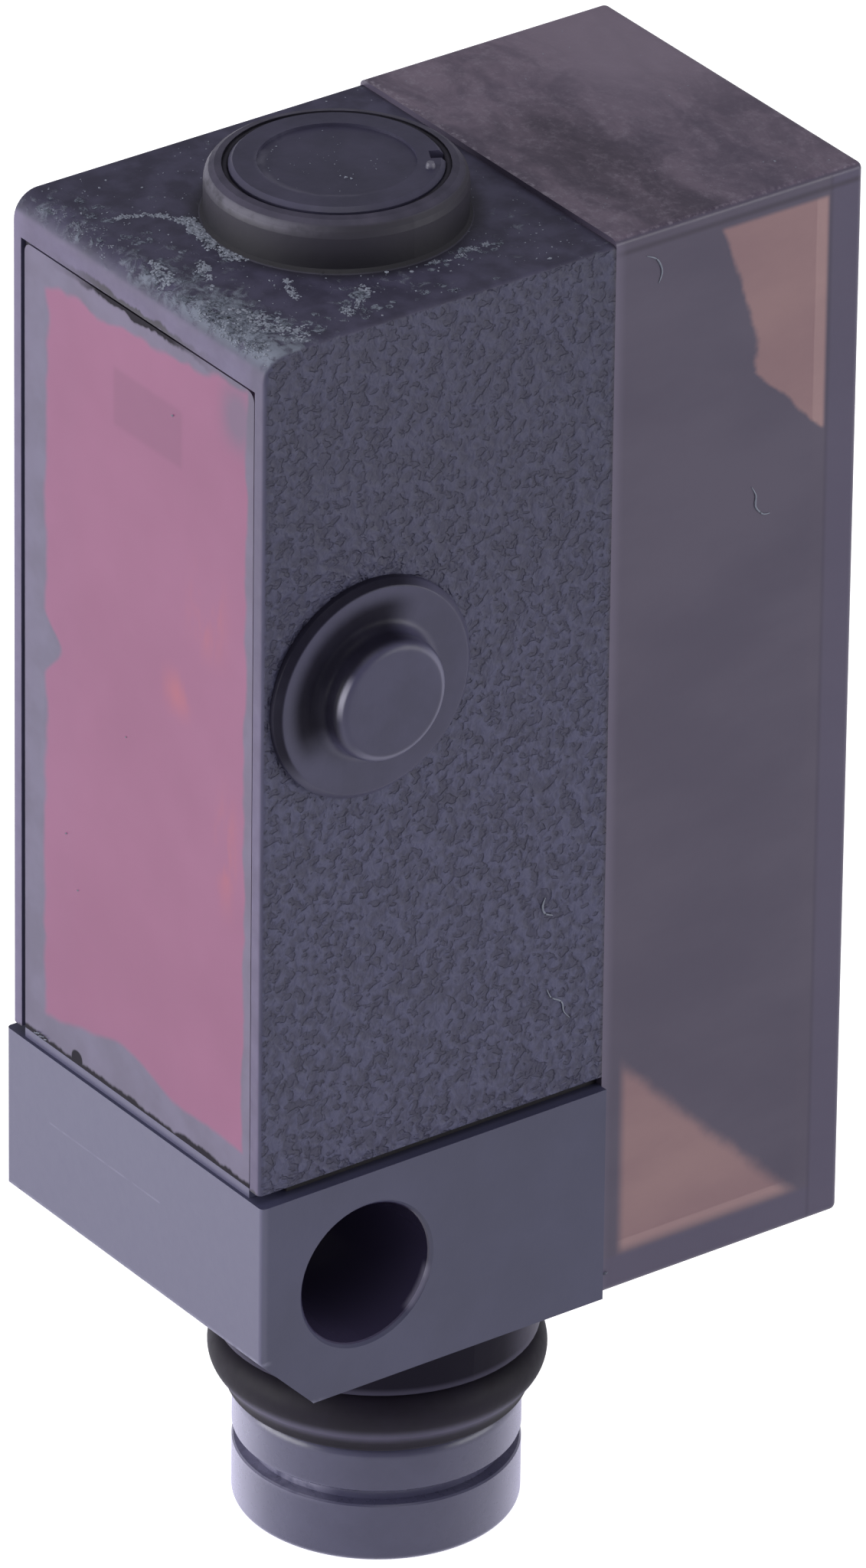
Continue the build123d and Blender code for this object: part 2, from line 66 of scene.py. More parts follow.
FRONT_Y, SEAM_Y = -3.53, 8.17
SIDE_X, BASE_HALF = 6.0, 6.23
ROOF_Z, COVER_TOP_Z = 29.59, 29.76
BROW_R = 0.8
RECESS_TOP_Z, HOUSING_LOW_Z = 28.3, 3.54
WINDOW_DUST_Y = -3.49
BASE_LOW_Z = -3.56
SLOPE_TOP_Z, SLOPE_FOOT_Y = -1.76, -1.79
BORE_R = 2.15
BOSS_Y, BOSS_R = 3.09, 3.69
BUTTON_Z = 18.54
PLUG_Y = 4.87

# The middle and the half width of the shadow under the brow, and a noise stretched across the front

UNDER_BROW = (-0.2, 4.6)
ACROSS = (1, 0.1, 0.1)


# Small helpers

def linear(r, g, b):
    """A colour given as screen values from 0 to 255, in linear light."""
    out = []
    for value in (r, g, b):
        value /= 255
        out.append(value / 12.92 if value <= 0.04045 else ((value + 0.055) / 1.055) ** 2.4)
    return (*out, 1.0)


class Surface:
    """A material's node tree, built one node at a time."""

    SHIFT_WAY = (1.0, 1.7, 0.6)

    def __init__(self, name):
        self.material = bpy.data.materials.new(name)
        self.material.use_nodes = True
        self.tree = self.material.node_tree
        self.tree.nodes.clear()
        self.output = self.add("ShaderNodeOutputMaterial")
        self.place = self.add("ShaderNodeTexCoord").outputs["Object"]

    def add(self, kind, **settings):
        node = self.tree.nodes.new(kind)
        for key, value in settings.items():
            setattr(node, key, value)
        return node

    def link(self, source, target):
        """Feeds a socket with a number, a colour of three screen values or another node's output."""
        if isinstance(source, tuple) and len(source) == 3:
            source = linear(*source)
        if isinstance(source, (int, float, tuple)):
            target.default_value = source
        else:
            self.tree.links.new(source, target)

    def math(self, operation, a, b=0.0, clamp=False):
        node = self.add("ShaderNodeMath", operation=operation, use_clamp=clamp)
        for socket, value in zip(node.inputs, (a, b)):
            self.link(value, socket)
        return node.outputs[0]

    def times(self, first, *others):
        for other in others:
            first = self.math("MULTIPLY", first, other)
        return first

    def plus(self, first, *others):
        for other in others:
            first = self.math("ADD", first, other)
        return first

    def minus(self, a, b):
        return self.math("SUBTRACT", a, b)

    def inverse(self, value):
        """1 where the value is 0, and 0 where it is 1."""
        return self.math("SUBTRACT", 1.0, value)

    def size(self, value):
        """The value without its sign."""
        return self.math("ABSOLUTE", value)

    def larger(self, a, b):
        return self.math("MAXIMUM", a, b)

    def radius(self, a, b):
        """The distance from the place where both coordinates are 0."""
        return self.math("SQRT", self.plus(self.times(a, a), self.times(b, b)))

    def noise(self, size_mm, detail=3.0, rough=0.55, stretch=(1, 1, 1), distort=0.0, shift=0.0):
        mapping = self.add("ShaderNodeMapping")
        self.link(self.place, mapping.inputs["Vector"])
        scale = 1 / (size_mm * MM)
        mapping.inputs["Scale"].default_value = tuple(scale * share for share in stretch)
        mapping.inputs["Location"].default_value = tuple(shift * share for share in self.SHIFT_WAY)
        node = self.add("ShaderNodeTexNoise")
        self.link(mapping.outputs[0], node.inputs["Vector"])
        node.inputs["Scale"].default_value = 1.0
        node.inputs["Detail"].default_value = detail
        node.inputs["Roughness"].default_value = rough
        node.inputs["Distortion"].default_value = distort
        return node.outputs["Fac"]

    def wave(self, size_mm, height_mm, detail=3.0, rough=0.55, stretch=(1, 1, 1), shift=0.0):
        """An uneven shift in metres, to either side of 0."""
        centred = self.minus(self.noise(size_mm, detail, rough, stretch, shift=shift), 0.5)
        return self.times(centred, height_mm * MM)

    def ramp(self, value, low, high, smooth=True):
        """0 at low and beyond it, 1 at high and beyond it. Low may be the greater of the two."""
        kind = "SMOOTHSTEP" if smooth else "LINEAR"
        node = self.add("ShaderNodeMapRange", interpolation_type=kind)
        self.link(value, node.inputs["Value"])
        node.inputs["From Min"].default_value = low
        node.inputs["From Max"].default_value = high
        return node.outputs["Result"]

    def ramp_mm(self, value, low, high, smooth=True):
        """The same for a value in metres, with low and high in millimetres."""
        return self.ramp(value, low * MM, high * MM, smooth)

    def patchy(self, size_mm, low, high, detail=4.0):
        """Patches that are 0 or 1 and soft between, as a noise falls below low or above high."""
        return self.ramp(self.noise(size_mm, detail), low, high)

    def between(self, value, low, high):
        """Turns a value from 0 to 1 into one from low to high."""
        node = self.add("ShaderNodeMapRange")
        self.link(value, node.inputs["Value"])
        node.inputs["To Min"].default_value = low
        node.inputs["To Max"].default_value = high
        return node.outputs["Result"]

    def axis(self, name, origin_mm=0.0):
        """The X, Y or Z coordinate in metres, counted from an origin."""
        node = self.add("ShaderNodeSeparateXYZ")
        self.link(self.place, node.inputs[0])
        if origin_mm:
            return self.minus(node.outputs[name], origin_mm * MM)
        return node.outputs[name]

    def normal(self, name):
        geometry = self.add("ShaderNodeNewGeometry")
        node = self.add("ShaderNodeSeparateXYZ")
        self.link(geometry.outputs["Normal"], node.inputs[0])
        return node.outputs[name]

    def near(self, axis, value_mm, width_mm):
        """1 where a coordinate is at a value, falling to 0 within a width."""
        away = self.size(self.minus(self.axis(axis), value_mm * MM))
        return self.inverse(self.ramp_mm(away, 0.0, width_mm))

    def edge(self, axis, value_mm, half_mm, step_mm):
        """1 up to a half width from a coordinate's value, falling to 0 over a step beyond it."""
        away = self.size(self.minus(self.axis(axis), value_mm * MM))
        return self.inverse(self.ramp_mm(away, half_mm, half_mm + step_mm))

    def spot(self, x, z, wide, tall):
        """1 at a place on a front face, falling to 0 round it."""
        return self.times(self.near("X", x, wide), self.near("Z", z, tall))

    def mix(self, factor, a, b):
        node = self.add("ShaderNodeMix", data_type="RGBA")
        self.link(factor, node.inputs["Factor"])
        self.link(a, node.inputs["A"])
        self.link(b, node.inputs["B"])
        return node.outputs["Result"]

    def paint(self, color, mask, rgb, amount=1.0):
        """The colour with another laid over it where the mask is 1, by an amount."""
        if amount != 1.0:
            mask = self.math("MULTIPLY", mask, amount, clamp=amount > 1)
        return self.mix(mask, color, rgb)

    def clouded(self, size_mm, dark, light, detail=4.0, low=0.3, high=0.7):
        """A colour that drifts between a dark and a light one."""
        return self.mix(self.patchy(size_mm, low, high, detail), dark, light)

    def bump(self, height, depth_mm):
        node = self.add("ShaderNodeBump")
        node.inputs["Strength"].default_value = 1.0
        node.inputs["Distance"].default_value = depth_mm * MM
        self.link(height, node.inputs["Height"])
        return node.outputs["Normal"]

    def principled(self, color, roughness, normal=None, **sockets):
        node = self.add("ShaderNodeBsdfPrincipled")
        self.link(color, node.inputs["Base Color"])
        self.link(roughness, node.inputs["Roughness"])
        if normal is not None:
            self.link(normal, node.inputs["Normal"])
        for key, value in sockets.items():
            self.link(value, node.inputs[key.replace("_", " ")])
        return node.outputs[0]

    def plastic(self, color, fine, smoothest, roughest, depth_mm, **sockets):
        """A shader whose gloss and height both follow one fine noise."""
        rough = self.between(fine, smoothest, roughest)
        return self.principled(color, rough, self.bump(fine, depth_mm), **sockets)

    def see_through(self, rgb=(255, 255, 255)):
        node = self.add("ShaderNodeBsdfTransparent")
        self.link(rgb, node.inputs["Color"])
        return node.outputs[0]

    def glow(self, rgb, strength):
        node = self.add("ShaderNodeEmission")
        self.link(rgb, node.inputs["Color"])
        self.link(strength, node.inputs["Strength"])
        return node.outputs[0]

    def choose(self, factor, first, second):
        """One shader where the factor is 0 and another where it is 1."""
        node = self.add("ShaderNodeMixShader")
        for socket, source in zip(node.inputs, (factor, first, second)):
            self.link(source, socket)
        return node.outputs[0]

    def finish(self, shader):
        self.link(shader, self.output.inputs["Surface"])
        return self.material


def piece_from(name, bm, material, body, smooth=True):
    """Turns a bmesh in metres into a piece that rides on a body, or on none yet."""
    mesh = bpy.data.meshes.new(name)
    bm.to_mesh(mesh)
    bm.free()
    for polygon in mesh.polygons:
        polygon.use_smooth = smooth
    mesh.materials.append(material)
    piece = bpy.data.objects.new(name, mesh)
    scene.collection.objects.link(piece)
    if body:
        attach(piece, body)
    return piece


# The camera, as fitted to the photograph

def make_camera():
    """Looks at a point inside the object from the photograph's angle, turned a little about its own axis."""
    azimuth, elevation, roll = (math.radians(angle) for angle in (53.96, 28.99, 0.704))
    aim = Vector((0.1618, 6.47, 10.7614)) * MM
    distance = 474.74 * MM
    back = Vector((math.sin(azimuth) * math.cos(elevation), -math.cos(azimuth) * math.cos(elevation),
                   math.sin(elevation)))
    level = Vector((math.cos(azimuth), math.sin(azimuth), 0))
    upward = back.cross(level)
    right = math.cos(roll) * level + math.sin(roll) * upward
    upright = -math.sin(roll) * level + math.cos(roll) * upward
    data = bpy.data.cameras.new("camera")
    data.sensor_fit = "VERTICAL"
    data.sensor_height = 36.0
    data.lens = 390.6
    data.clip_start = 0.01
    data.clip_end = 50.0
    camera = bpy.data.objects.new("camera", data)
    turn = Matrix((right, upright, back)).transposed().to_4x4()
    camera.matrix_world = Matrix.Translation(aim + back * distance) @ turn
    scene.collection.objects.link(camera)
    scene.camera = camera


make_camera()
scene.view_settings.view_transform = "Standard"


# Lights: a soft panel low at the front left, a smaller one behind at the right, one above, and a dim room

LIT_POINT = Vector((0, 6 * MM, 10 * MM))


def panel(name, direction, distance, size, power):
    """A rectangular light that faces the object."""
    data = bpy.data.lights.new(name, "AREA")
    data.shape = "RECTANGLE"
    data.size, data.size_y = size
    data.energy = power
    lamp = bpy.data.objects.new(name, data)
    way = Vector(direction).normalized()
    turn = way.to_track_quat("Z", "Y").to_matrix().to_4x4()
    lamp.matrix_world = Matrix.Translation(LIT_POINT + way * distance) @ turn
    scene.collection.objects.link(lamp)


panel("front_panel", direction=(-0.35, -0.9, 0.12), distance=0.6, size=(0.5, 0.36), power=3.6)
panel("side_panel", direction=(0.74, 0.66, 0.1), distance=0.6, size=(0.42, 0.3), power=1.5)
panel("top_panel", direction=(0.3, -0.2, 0.93), distance=0.7, size=(0.45, 0.45), power=0.9)


def set_world():
    """White to the camera and through clear plastic, and a dim even room for light and gloss."""
    world = bpy.data.worlds.new("room")
    world.use_nodes = True
    tree = world.node_tree
    tree.nodes.clear()
    output = tree.nodes.new("ShaderNodeOutputWorld")
    backgrounds = []
    for rgb, strength in (((236, 236, 244), 0.3), ((255, 255, 255), 1.0)):
        background = tree.nodes.new("ShaderNodeBackground")
        background.inputs["Color"].default_value = linear(*rgb)
        background.inputs["Strength"].default_value = strength
        backgrounds.append(background.outputs[0])
    path = tree.nodes.new("ShaderNodeLightPath")
    seen = tree.nodes.new("ShaderNodeMath")
    seen.operation = "MAXIMUM"
    tree.links.new(path.outputs["Is Camera Ray"], seen.inputs[0])
    tree.links.new(path.outputs["Is Transmission Ray"], seen.inputs[1])
    choose = tree.nodes.new("ShaderNodeMixShader")
    for socket, source in zip(choose.inputs, (seen.outputs[0], *backgrounds)):
        tree.links.new(source, socket)
    tree.links.new(choose.outputs[0], output.inputs["Surface"])
    scene.world = world


set_world()


# The floor

def floor_material():
    """White paper that stays white to the camera, shines back brighter at the left and keeps the shadow."""
    look = Surface("floor_paper")
    shade = look.between(look.noise(1.2, 4), 0.84, 0.87)
    color = look.add("ShaderNodeCombineColor")
    for channel in ("Red", "Green", "Blue"):
        look.link(shade, color.inputs[channel])
    paper = look.principled(color.outputs[0], 0.7, Specular_IOR_Level=0.2)
    leftward = look.plus(look.times(look.axis("X"), 0.6), look.axis("Y"))
    left = look.inverse(look.ramp(leftward, -0.05, 0.03))
    shine = look.glow((248, 247, 255), look.between(left, 0.5, 1.35))
    white = look.glow((255, 255, 255), 0.94)
    nothing = look.glow((255, 255, 255), 0.0)
    path = look.add("ShaderNodeLightPath").outputs
    mirrored = look.choose(path["Is Glossy Ray"], nothing, shine)
    seen = look.larger(path["Is Camera Ray"], path["Is Transmission Ray"])
    both = look.add("ShaderNodeAddShader")
    look.link(paper, both.inputs[0])
    look.link(look.choose(seen, mirrored, white), both.inputs[1])
    return look.finish(both.outputs[0])


def make_floor():
    """A round sheet under the plug, large enough to fill every view."""
    bm = bmesh.new()
    bmesh.ops.create_circle(bm, cap_ends=True, radius=3.0, segments=96)
    for vertex in bm.verts:
        vertex.co.z = cad_bounds[0][2]
    mesh = bpy.data.meshes.new("floor")
    bm.to_mesh(mesh)
    bm.free()
    mesh.materials.append(floor_material())
    floor = bpy.data.objects.new("floor", mesh)
    scene.collection.objects.link(floor)


make_floor()


# Materials

def plain(name, rgb, roughness, spread=0.06, grain_mm=0.5, depth_mm=0.004, dark=0.86):
    """Moulded plastic or lacquer: slight clouding, fine grain and uneven gloss."""
    look = Surface(name)
    clouds = look.noise(grain_mm * 6, 4)
    fine = look.noise(grain_mm, 3)
    deep = (*(channel * dark for channel in linear(*rgb)[:3]), 1.0)
    color = look.mix(look.ramp(clouds, 0.3, 0.7), deep, rgb)
    rough = look.between(fine, roughness - spread, roughness + spread)
    return look.finish(look.principled(color, rough, look.bump(fine, depth_mm)))


def dust_amount(look):
    """Pale dust on the roof's upward faces, in blotches that thicken on the near part of the brow."""
    fine = look.noise(0.34, 5, 0.6, distort=0.5)
    patches = look.noise(1.5, 4, 0.6, distort=1.0, shift=3.0)
    forward = look.inverse(look.ramp_mm(look.axis("Y"), -3.6, -0.6))
    nearside = look.ramp_mm(look.axis("X"), -2.5, 4.5)
    corner = look.times(forward, nearside)
    weight = look.plus(look.times(forward, 0.12), look.times(nearside, 0.03), look.times(corner, 0.13))
    level = look.plus(look.times(fine, 0.6), look.times(patches, 0.4), weight)
    up = look.ramp(look.normal("Z"), 0.25, 0.8)
    z = look.axis("Z")
    over_brow = look.ramp_mm(z, 28.0, 28.8)
    under_boss = look.inverse(look.ramp_mm(z, ROOF_Z + 0.03, ROOF_Z + 0.11))
    return look.times(look.ramp(level, 0.6, 0.78), up, over_brow, under_boss)


def grain(look):
    """Moulded grain: close, soft lumps with small pits between them, as lumps, pits and a height."""
    lumps = look.noise(0.31, 2.2, 0.5, distort=0.3)
    pits = look.ramp(look.noise(0.27, 2, 0.5, stretch=(1, 0.85, 1), distort=0.35, shift=2.0), 0.51, 0.63)
    height = look.minus(lumps, look.times(pits, 0.4))
    return lumps, pits, height


def side_color(look, lumps, pits, side):
    """The pitted wide sides, darker towards the top."""
    color = look.mix(look.ramp(lumps, 0.34, 0.64), (61, 60, 84), (80, 80, 108))
    color = look.paint(color, pits, (49, 47, 69), 0.6)
    upper = look.times(look.ramp_mm(look.axis("Z"), 13, 25), side)
    return look.paint(color, upper, (54, 53, 72), 0.4)


def frame_color(look):
    """The frame round the window, smooth and painted lighter than the sides as painted light: lighter still
    at the left, with a dark joint below and a painted shadow under the brow.
    """
    x, z = look.axis("X"), look.axis("Z")
    # Painted light: the frame's colour is lighter than the grained sides, for the face turned to the front
    # lamp.
    color = look.clouded(1.2, (89, 81, 107), (99, 91, 119))
    left = look.inverse(look.ramp_mm(x, -5.9, -5.2))
    color = look.paint(color, left, (118, 110, 140), 0.6)
    high_right = look.times(look.ramp_mm(x, 5.2, 5.5), look.ramp_mm(z, 18, 22))
    color = look.paint(color, high_right, (78, 72, 94), 0.6)
    uneven_z = look.plus(z, look.wave(0.5, 0.5, stretch=ACROSS))
    above_joint = look.ramp_mm(uneven_z, HOUSING_LOW_Z + 0.01, HOUSING_LOW_Z + 0.12)
    color = look.mix(above_joint, (40, 34, 48), color)
    # Painted shadow in a wavy band under the brow, over the window's top edge.
    lip = look.times(look.ramp_mm(uneven_z, RECESS_TOP_Z, RECESS_TOP_Z + 0.06),
                     look.ramp_mm(uneven_z, RECESS_TOP_Z + 0.32, RECESS_TOP_Z + 0.2),
                     look.near("X", *UNDER_BROW))
    return look.paint(color, lip, (38, 32, 46), 1.3)


def boss_color(look, top):
    """The roof's boss: walls painted dark as shade, darkest at the foot, a lighter crown and a painted
    highlight on the near side of its rim.
    """
    x, y, z = look.axis("X"), look.axis("Y", BOSS_Y), look.axis("Z")
    # Painted shade: the boss's wall is coloured dark, darkest at its foot.
    color = look.mix(look.ramp_mm(z, 29.8, 30.7), (27, 25, 34), (44, 41, 53))
    # Painted highlight, in patches, on the rim's rounding where it faces the front.
    facing = look.math("DIVIDE", look.minus(look.times(x, -0.2), y), look.radius(x, y))
    rim_highlight = look.times(look.near("Z", 30.86, 0.3), look.ramp(facing, 0.25, 0.95),
                        look.patchy(0.5, 0.25, 0.6))
    color = look.paint(color, rim_highlight, (100, 97, 112), 0.85)
    crown = look.clouded(0.8, (60, 57, 74), (74, 70, 88))
    return look.mix(look.times(top, look.ramp_mm(z, 30.9, 31.0)), color, crown)


def housing_material():
    """Pitted grain on the wide sides, smooth frame at the front, dark dusty roof, and a boss with painted
    shade, a painted highlight and a painted shadow round its foot.
    """
    look = Surface("housing_textured")
    x, y, z = look.axis("X"), look.axis("Y"), look.axis("Z")
    lumps, pits, height = grain(look)
    on_wall = look.ramp_mm(look.size(x), SIDE_X - 0.12, SIDE_X - 0.07)
    side = look.times(look.ramp(look.size(look.normal("X")), 0.8, 0.95), on_wall)
    forward = look.inverse(look.ramp_mm(y, FRONT_Y + 0.23, FRONT_Y + 0.43))
    front = look.times(look.ramp(look.times(look.normal("Y"), -1.0), 0.84, 0.97), forward)
    top = look.ramp(look.normal("Z"), 0.3, 0.62)
    smooth = look.clouded(3.5, (62, 60, 84), (72, 70, 96))
    color = look.mix(side, smooth, side_color(look, lumps, pits, side))
    color = look.mix(front, color, frame_color(look))
    roof = look.clouded(0.9, (58, 55, 76), (76, 73, 97), 5, 0.35, 0.65)
    color = look.mix(top, color, roof)
    dust_here = dust_amount(look)
    color = look.paint(color, dust_here, (132, 139, 154), 0.8)
    boss = look.ramp_mm(z, ROOF_Z + 0.005, ROOF_Z + 0.04)
    color = look.mix(boss, color, boss_color(look, top))
    # Painted shadow on the roof round the boss's foot.
    from_boss = look.radius(x, look.axis("Y", BOSS_Y))
    foot = look.times(look.inverse(look.ramp_mm(from_boss, BOSS_R + 0.01, BOSS_R + 0.61)),
                      look.ramp_mm(z, 29.0, 29.3), look.inverse(boss))
    color = look.paint(color, foot, (34, 32, 42), 0.75)
    color = look.paint(color, look.near("Y", SEAM_Y, 0.16), (52, 46, 60), 0.6)
    rough = look.plus(look.between(lumps, 0.5, 0.66), look.times(dust_here, 0.25))
    height = look.plus(look.times(height, side), look.times(look.noise(0.5, 3), 0.1),
                       look.times(dust_here, 0.35))
    return look.finish(look.principled(color, rough, look.bump(height, 0.13)))


def across_plug(look):
    """How far a place lies towards the cover's near corner from the plug's axis, in metres."""
    return look.plus(look.times(look.axis("X"), 0.59), look.times(look.axis("Y", PLUG_Y), 0.81))


def neck_color(look):
    """The base's neck: dark, with a painted highlight arc at its foot and painted light on its flanks."""
    # Painted highlight: a light arc round the neck's foot.
    color = look.mix(look.near("Z", -5.86, 0.2), (27, 24, 37), (70, 67, 84))
    across = across_plug(look)
    # Painted light on the neck's two flanks, where they turn towards the lamps.
    flanks = look.larger(look.ramp_mm(across, -3.3, -4.6), look.ramp_mm(across, 3.5, 4.6))
    return look.paint(color, flanks, (92, 88, 108), 0.7)


def base_material():
    """Smooth satin plastic with faint clouds, a front painted lighter as painted light, edges with wear and
    painted highlights, a scratch, a dark neck and a glossy bore with a painted highlight at its mouth.
    """
    look = Surface("base_satin")
    y, z = look.axis("Y"), look.axis("Z")
    fine = look.noise(0.35, 4)
    front = look.ramp(look.times(look.normal("Y"), -1.0), 0.6, 0.9)
    color = look.clouded(4.0, (66, 66, 91), (73, 73, 100))
    # Painted light: the front face is coloured lighter than the sides.
    color = look.paint(color, front, (91, 89, 115))
    # Edges with wear and painted highlights along the slope's top and foot and the front corner, broken into
    # patches.
    slope_top = look.times(look.near("Z", SLOPE_TOP_Z, 0.12), look.near("Y", FRONT_Y, 0.4))
    slope_foot = look.times(look.near("Z", BASE_LOW_Z, 0.14), look.near("Y", SLOPE_FOOT_Y, 0.5))
    corner = look.times(look.near("X", BASE_HALF, 0.09), look.near("Y", FRONT_Y, 0.2))
    edge_wear_and_highlight = look.times(look.larger(slope_top, slope_foot), look.patchy(0.3, 0.25, 0.6))
    edge_wear_and_highlight = look.larger(edge_wear_and_highlight, look.times(corner, 0.4))
    color = look.paint(color, edge_wear_and_highlight, (150, 150, 172), 0.6)
    scratch = look.times(look.near("Z", 1.12, 0.05), look.edge("X", -1.4, 2.63, 0.14),
                         look.ramp(look.noise(0.7, 3), 0.35, 0.6))
    color = look.paint(color, scratch, (140, 138, 160), 0.35)
    neck = look.inverse(look.ramp_mm(z, BASE_LOW_Z - 0.06, BASE_LOW_Z - 0.02))
    color = look.mix(neck, color, neck_color(look))
    from_bore = look.radius(y, z)
    bore = look.inverse(look.ramp_mm(from_bore, BORE_R + 0.02, BORE_R + 0.05))
    color = look.paint(color, bore, (66, 60, 86))
    # Painted highlight on the lower right of the bore's mouth.
    low_right = look.minus(look.times(y, 0.87), look.times(z, 0.5))
    low_right = look.ramp(look.math("DIVIDE", low_right, from_bore), 0.93, 0.985)
    mouth = look.times(look.near("X", 6.08, 0.2), look.ramp_mm(from_bore, BORE_R + 0.13, BORE_R + 0.1),
                       low_right)
    color = look.paint(color, mouth, (150, 146, 170), 0.9)
    rough = look.minus(look.between(fine, 0.34, 0.46), look.times(bore, 0.24))
    gloss = look.between(neck, 0.5, 0.06)
    return look.finish(look.principled(color, rough, look.bump(fine, 0.006), Specular_IOR_Level=gloss))


def pink_field(look):
    """Where the window is milky pink: inside a wavy outline, with a notch at the left and a swell below."""
    left_x, right_x, low_z, high_z, soft = -4.42, 5.02, 4.5, 27.68, 0.13
    x, z = look.axis("X"), look.axis("Z")
    wave = look.plus(look.wave(2.6, 1.5, 2, 0.4, (1, 0.1, 1)),
                     look.wave(0.9, 0.5, 2, 0.4, (1, 0.1, 1), shift=5.0))
    notch = look.times(look.near("Z", 16.3, 1.1), -0.85 * MM)
    from_left = look.plus(x, look.times(wave, 0.5), notch)
    left = look.ramp_mm(from_left, left_x - soft, left_x + soft)
    from_right = look.plus(x, look.times(wave, 0.4))
    right = look.inverse(look.ramp_mm(from_right, right_x, right_x + 0.18))
    from_top = look.plus(look.minus(z, look.times(x, 0.07)), wave)
    top = look.inverse(look.ramp_mm(from_top, high_z - soft, high_z + soft))
    swell = look.times(look.near("X", -0.8, 3.2), 0.75 * MM)
    from_foot = look.plus(look.minus(z, swell), look.times(wave, 0.4))
    foot = look.ramp_mm(from_foot, low_z - soft, low_z + soft)
    return look.times(left, right, top, foot)


def window_shadow(look):
    """Dark places of the window: a painted shadow under the brow, one dark blob and the dark joint below."""
    uneven_z = look.plus(look.axis("Z"), look.wave(0.6, 0.5, stretch=ACROSS))
    # Painted shadow under the brow.
    brow = look.times(look.near("X", *UNDER_BROW),
                      look.ramp_mm(uneven_z, RECESS_TOP_Z - 0.24, RECESS_TOP_Z - 0.1))
    brow = look.math("MULTIPLY", brow, 1.5, clamp=True)
    blob = look.ramp(look.spot(-2.9, 3.68, 0.42, 0.46), 0.2, 0.36)
    joint = look.ramp_mm(uneven_z, HOUSING_LOW_Z + 0.22, HOUSING_LOW_Z + 0.1)
    return look.larger(look.larger(brow, blob), joint)


def window_material():
    """Red window: a milky pink field with warm streaks and a faint dark square, in a greyish border."""
    look = Surface("window_milky")
    x, z = look.axis("X"), look.axis("Z")
    border = look.clouded(1.6, (98, 90, 116), (110, 102, 130), 3)
    upper_right = look.times(look.ramp_mm(x, 2.5, 4.5), look.ramp_mm(z, 25, 27))
    border = look.paint(border, upper_right, (82, 76, 98), 0.5)
    field = look.clouded(6.0, (143, 80, 118), (151, 88, 126), 3)
    field = look.paint(field, look.spot(4.7, 27.2, 1.2, 1.5), (112, 86, 116), 1.3)
    warm = look.spot(3.3, 20.6, 1.3, 1.9)
    for place in ((1.9, 17.5, 1.0, 1.0), (4.25, 13.6, 0.8, 2.6)):
        warm = look.larger(warm, look.spot(*place))
    streaks = look.ramp(look.noise(1.4, 3, stretch=(2, 1, 0.6)), 0.36, 0.6)
    field = look.paint(field, look.times(warm, streaks), (178, 92, 106), 0.65)
    square = look.times(look.edge("X", 0.45, 1.5, 0.25), look.edge("Z", 25.4, 0.75, 0.25))
    field = look.paint(field, square, (100, 52, 88), 0.28)
    color = look.mix(pink_field(look), border, field)
    dark = window_shadow(look)
    # The painted shadow under the brow, the dark blob and the dark joint, laid over the window.
    color = look.paint(color, dark, (26, 21, 32))
    milky = look.principled(color, 0.32, look.bump(look.noise(2.5, 2), 0.01),
                            Specular_IOR_Level=look.between(dark, 0.45, 0.05))
    clear = look.see_through((235, 120, 140))
    return look.finish(look.choose(look.between(dark, 0.86, 1.0), clear, milky))


def clear_areas(look):
    """Where the cover's wide sides are clear and light shows through, painted tan: a strip along the rear
    edge above, and a triangle below.
    """
    y, z = look.axis("Y"), look.axis("Z")
    wobble = look.wave(0.9, 0.5)
    upper_slant = look.times(look.ramp_mm(z, 29.1, 25.6, smooth=False), 1.2 * MM)
    lower_slant = look.times(look.ramp_mm(z, 24.3, 21.9, smooth=False), 2.4 * MM)
    left_edge = look.plus(upper_slant, lower_slant, 11.8 * MM)
    from_left = look.plus(look.minus(y, left_edge), wobble)
    strip = look.times(look.ramp_mm(from_left, -0.12, 0.12), look.ramp_mm(y, 15.5, 15.3),
                       look.ramp_mm(z, 29.15, 28.95), look.ramp_mm(z, 21.8, 22.0))
    diagonal = look.plus(z, y, wobble)
    triangle = look.times(look.ramp_mm(diagonal, 12.9, 12.1), look.ramp_mm(z, -2.6, -2.1),
                          look.ramp_mm(y, 8.7, 9.1))
    return look.larger(strip, triangle)


def cover_top_color(look):
    """The cover's top: wiped streaks, a dark band, a film of dust and a paler far corner."""
    x, y = look.axis("X"), look.axis("Y")
    streaks = look.ramp(look.noise(1.5, 7, 0.68, stretch=(0.6, 1, 1), distort=0.6), 0.34, 0.68)
    color = look.mix(streaks, (90, 80, 98), (124, 110, 127))
    band = look.times(look.near("Y", 10.6, 2.4), look.ramp_mm(x, -3.2, -0.6), look.between(streaks, 1.0, 0.5))
    color = look.paint(color, band, (70, 61, 76), 0.85)
    film = look.times(look.ramp(look.noise(0.26, 6, 0.78), 0.48, 0.66), look.between(streaks, 0.35, 1.0))
    color = look.paint(color, film, (144, 135, 150), 0.55)
    far = look.times(look.ramp_mm(y, 11.5, 14.5), look.ramp_mm(x, 2.0, -3.0))
    return look.paint(color, far, (134, 121, 138), 0.8)


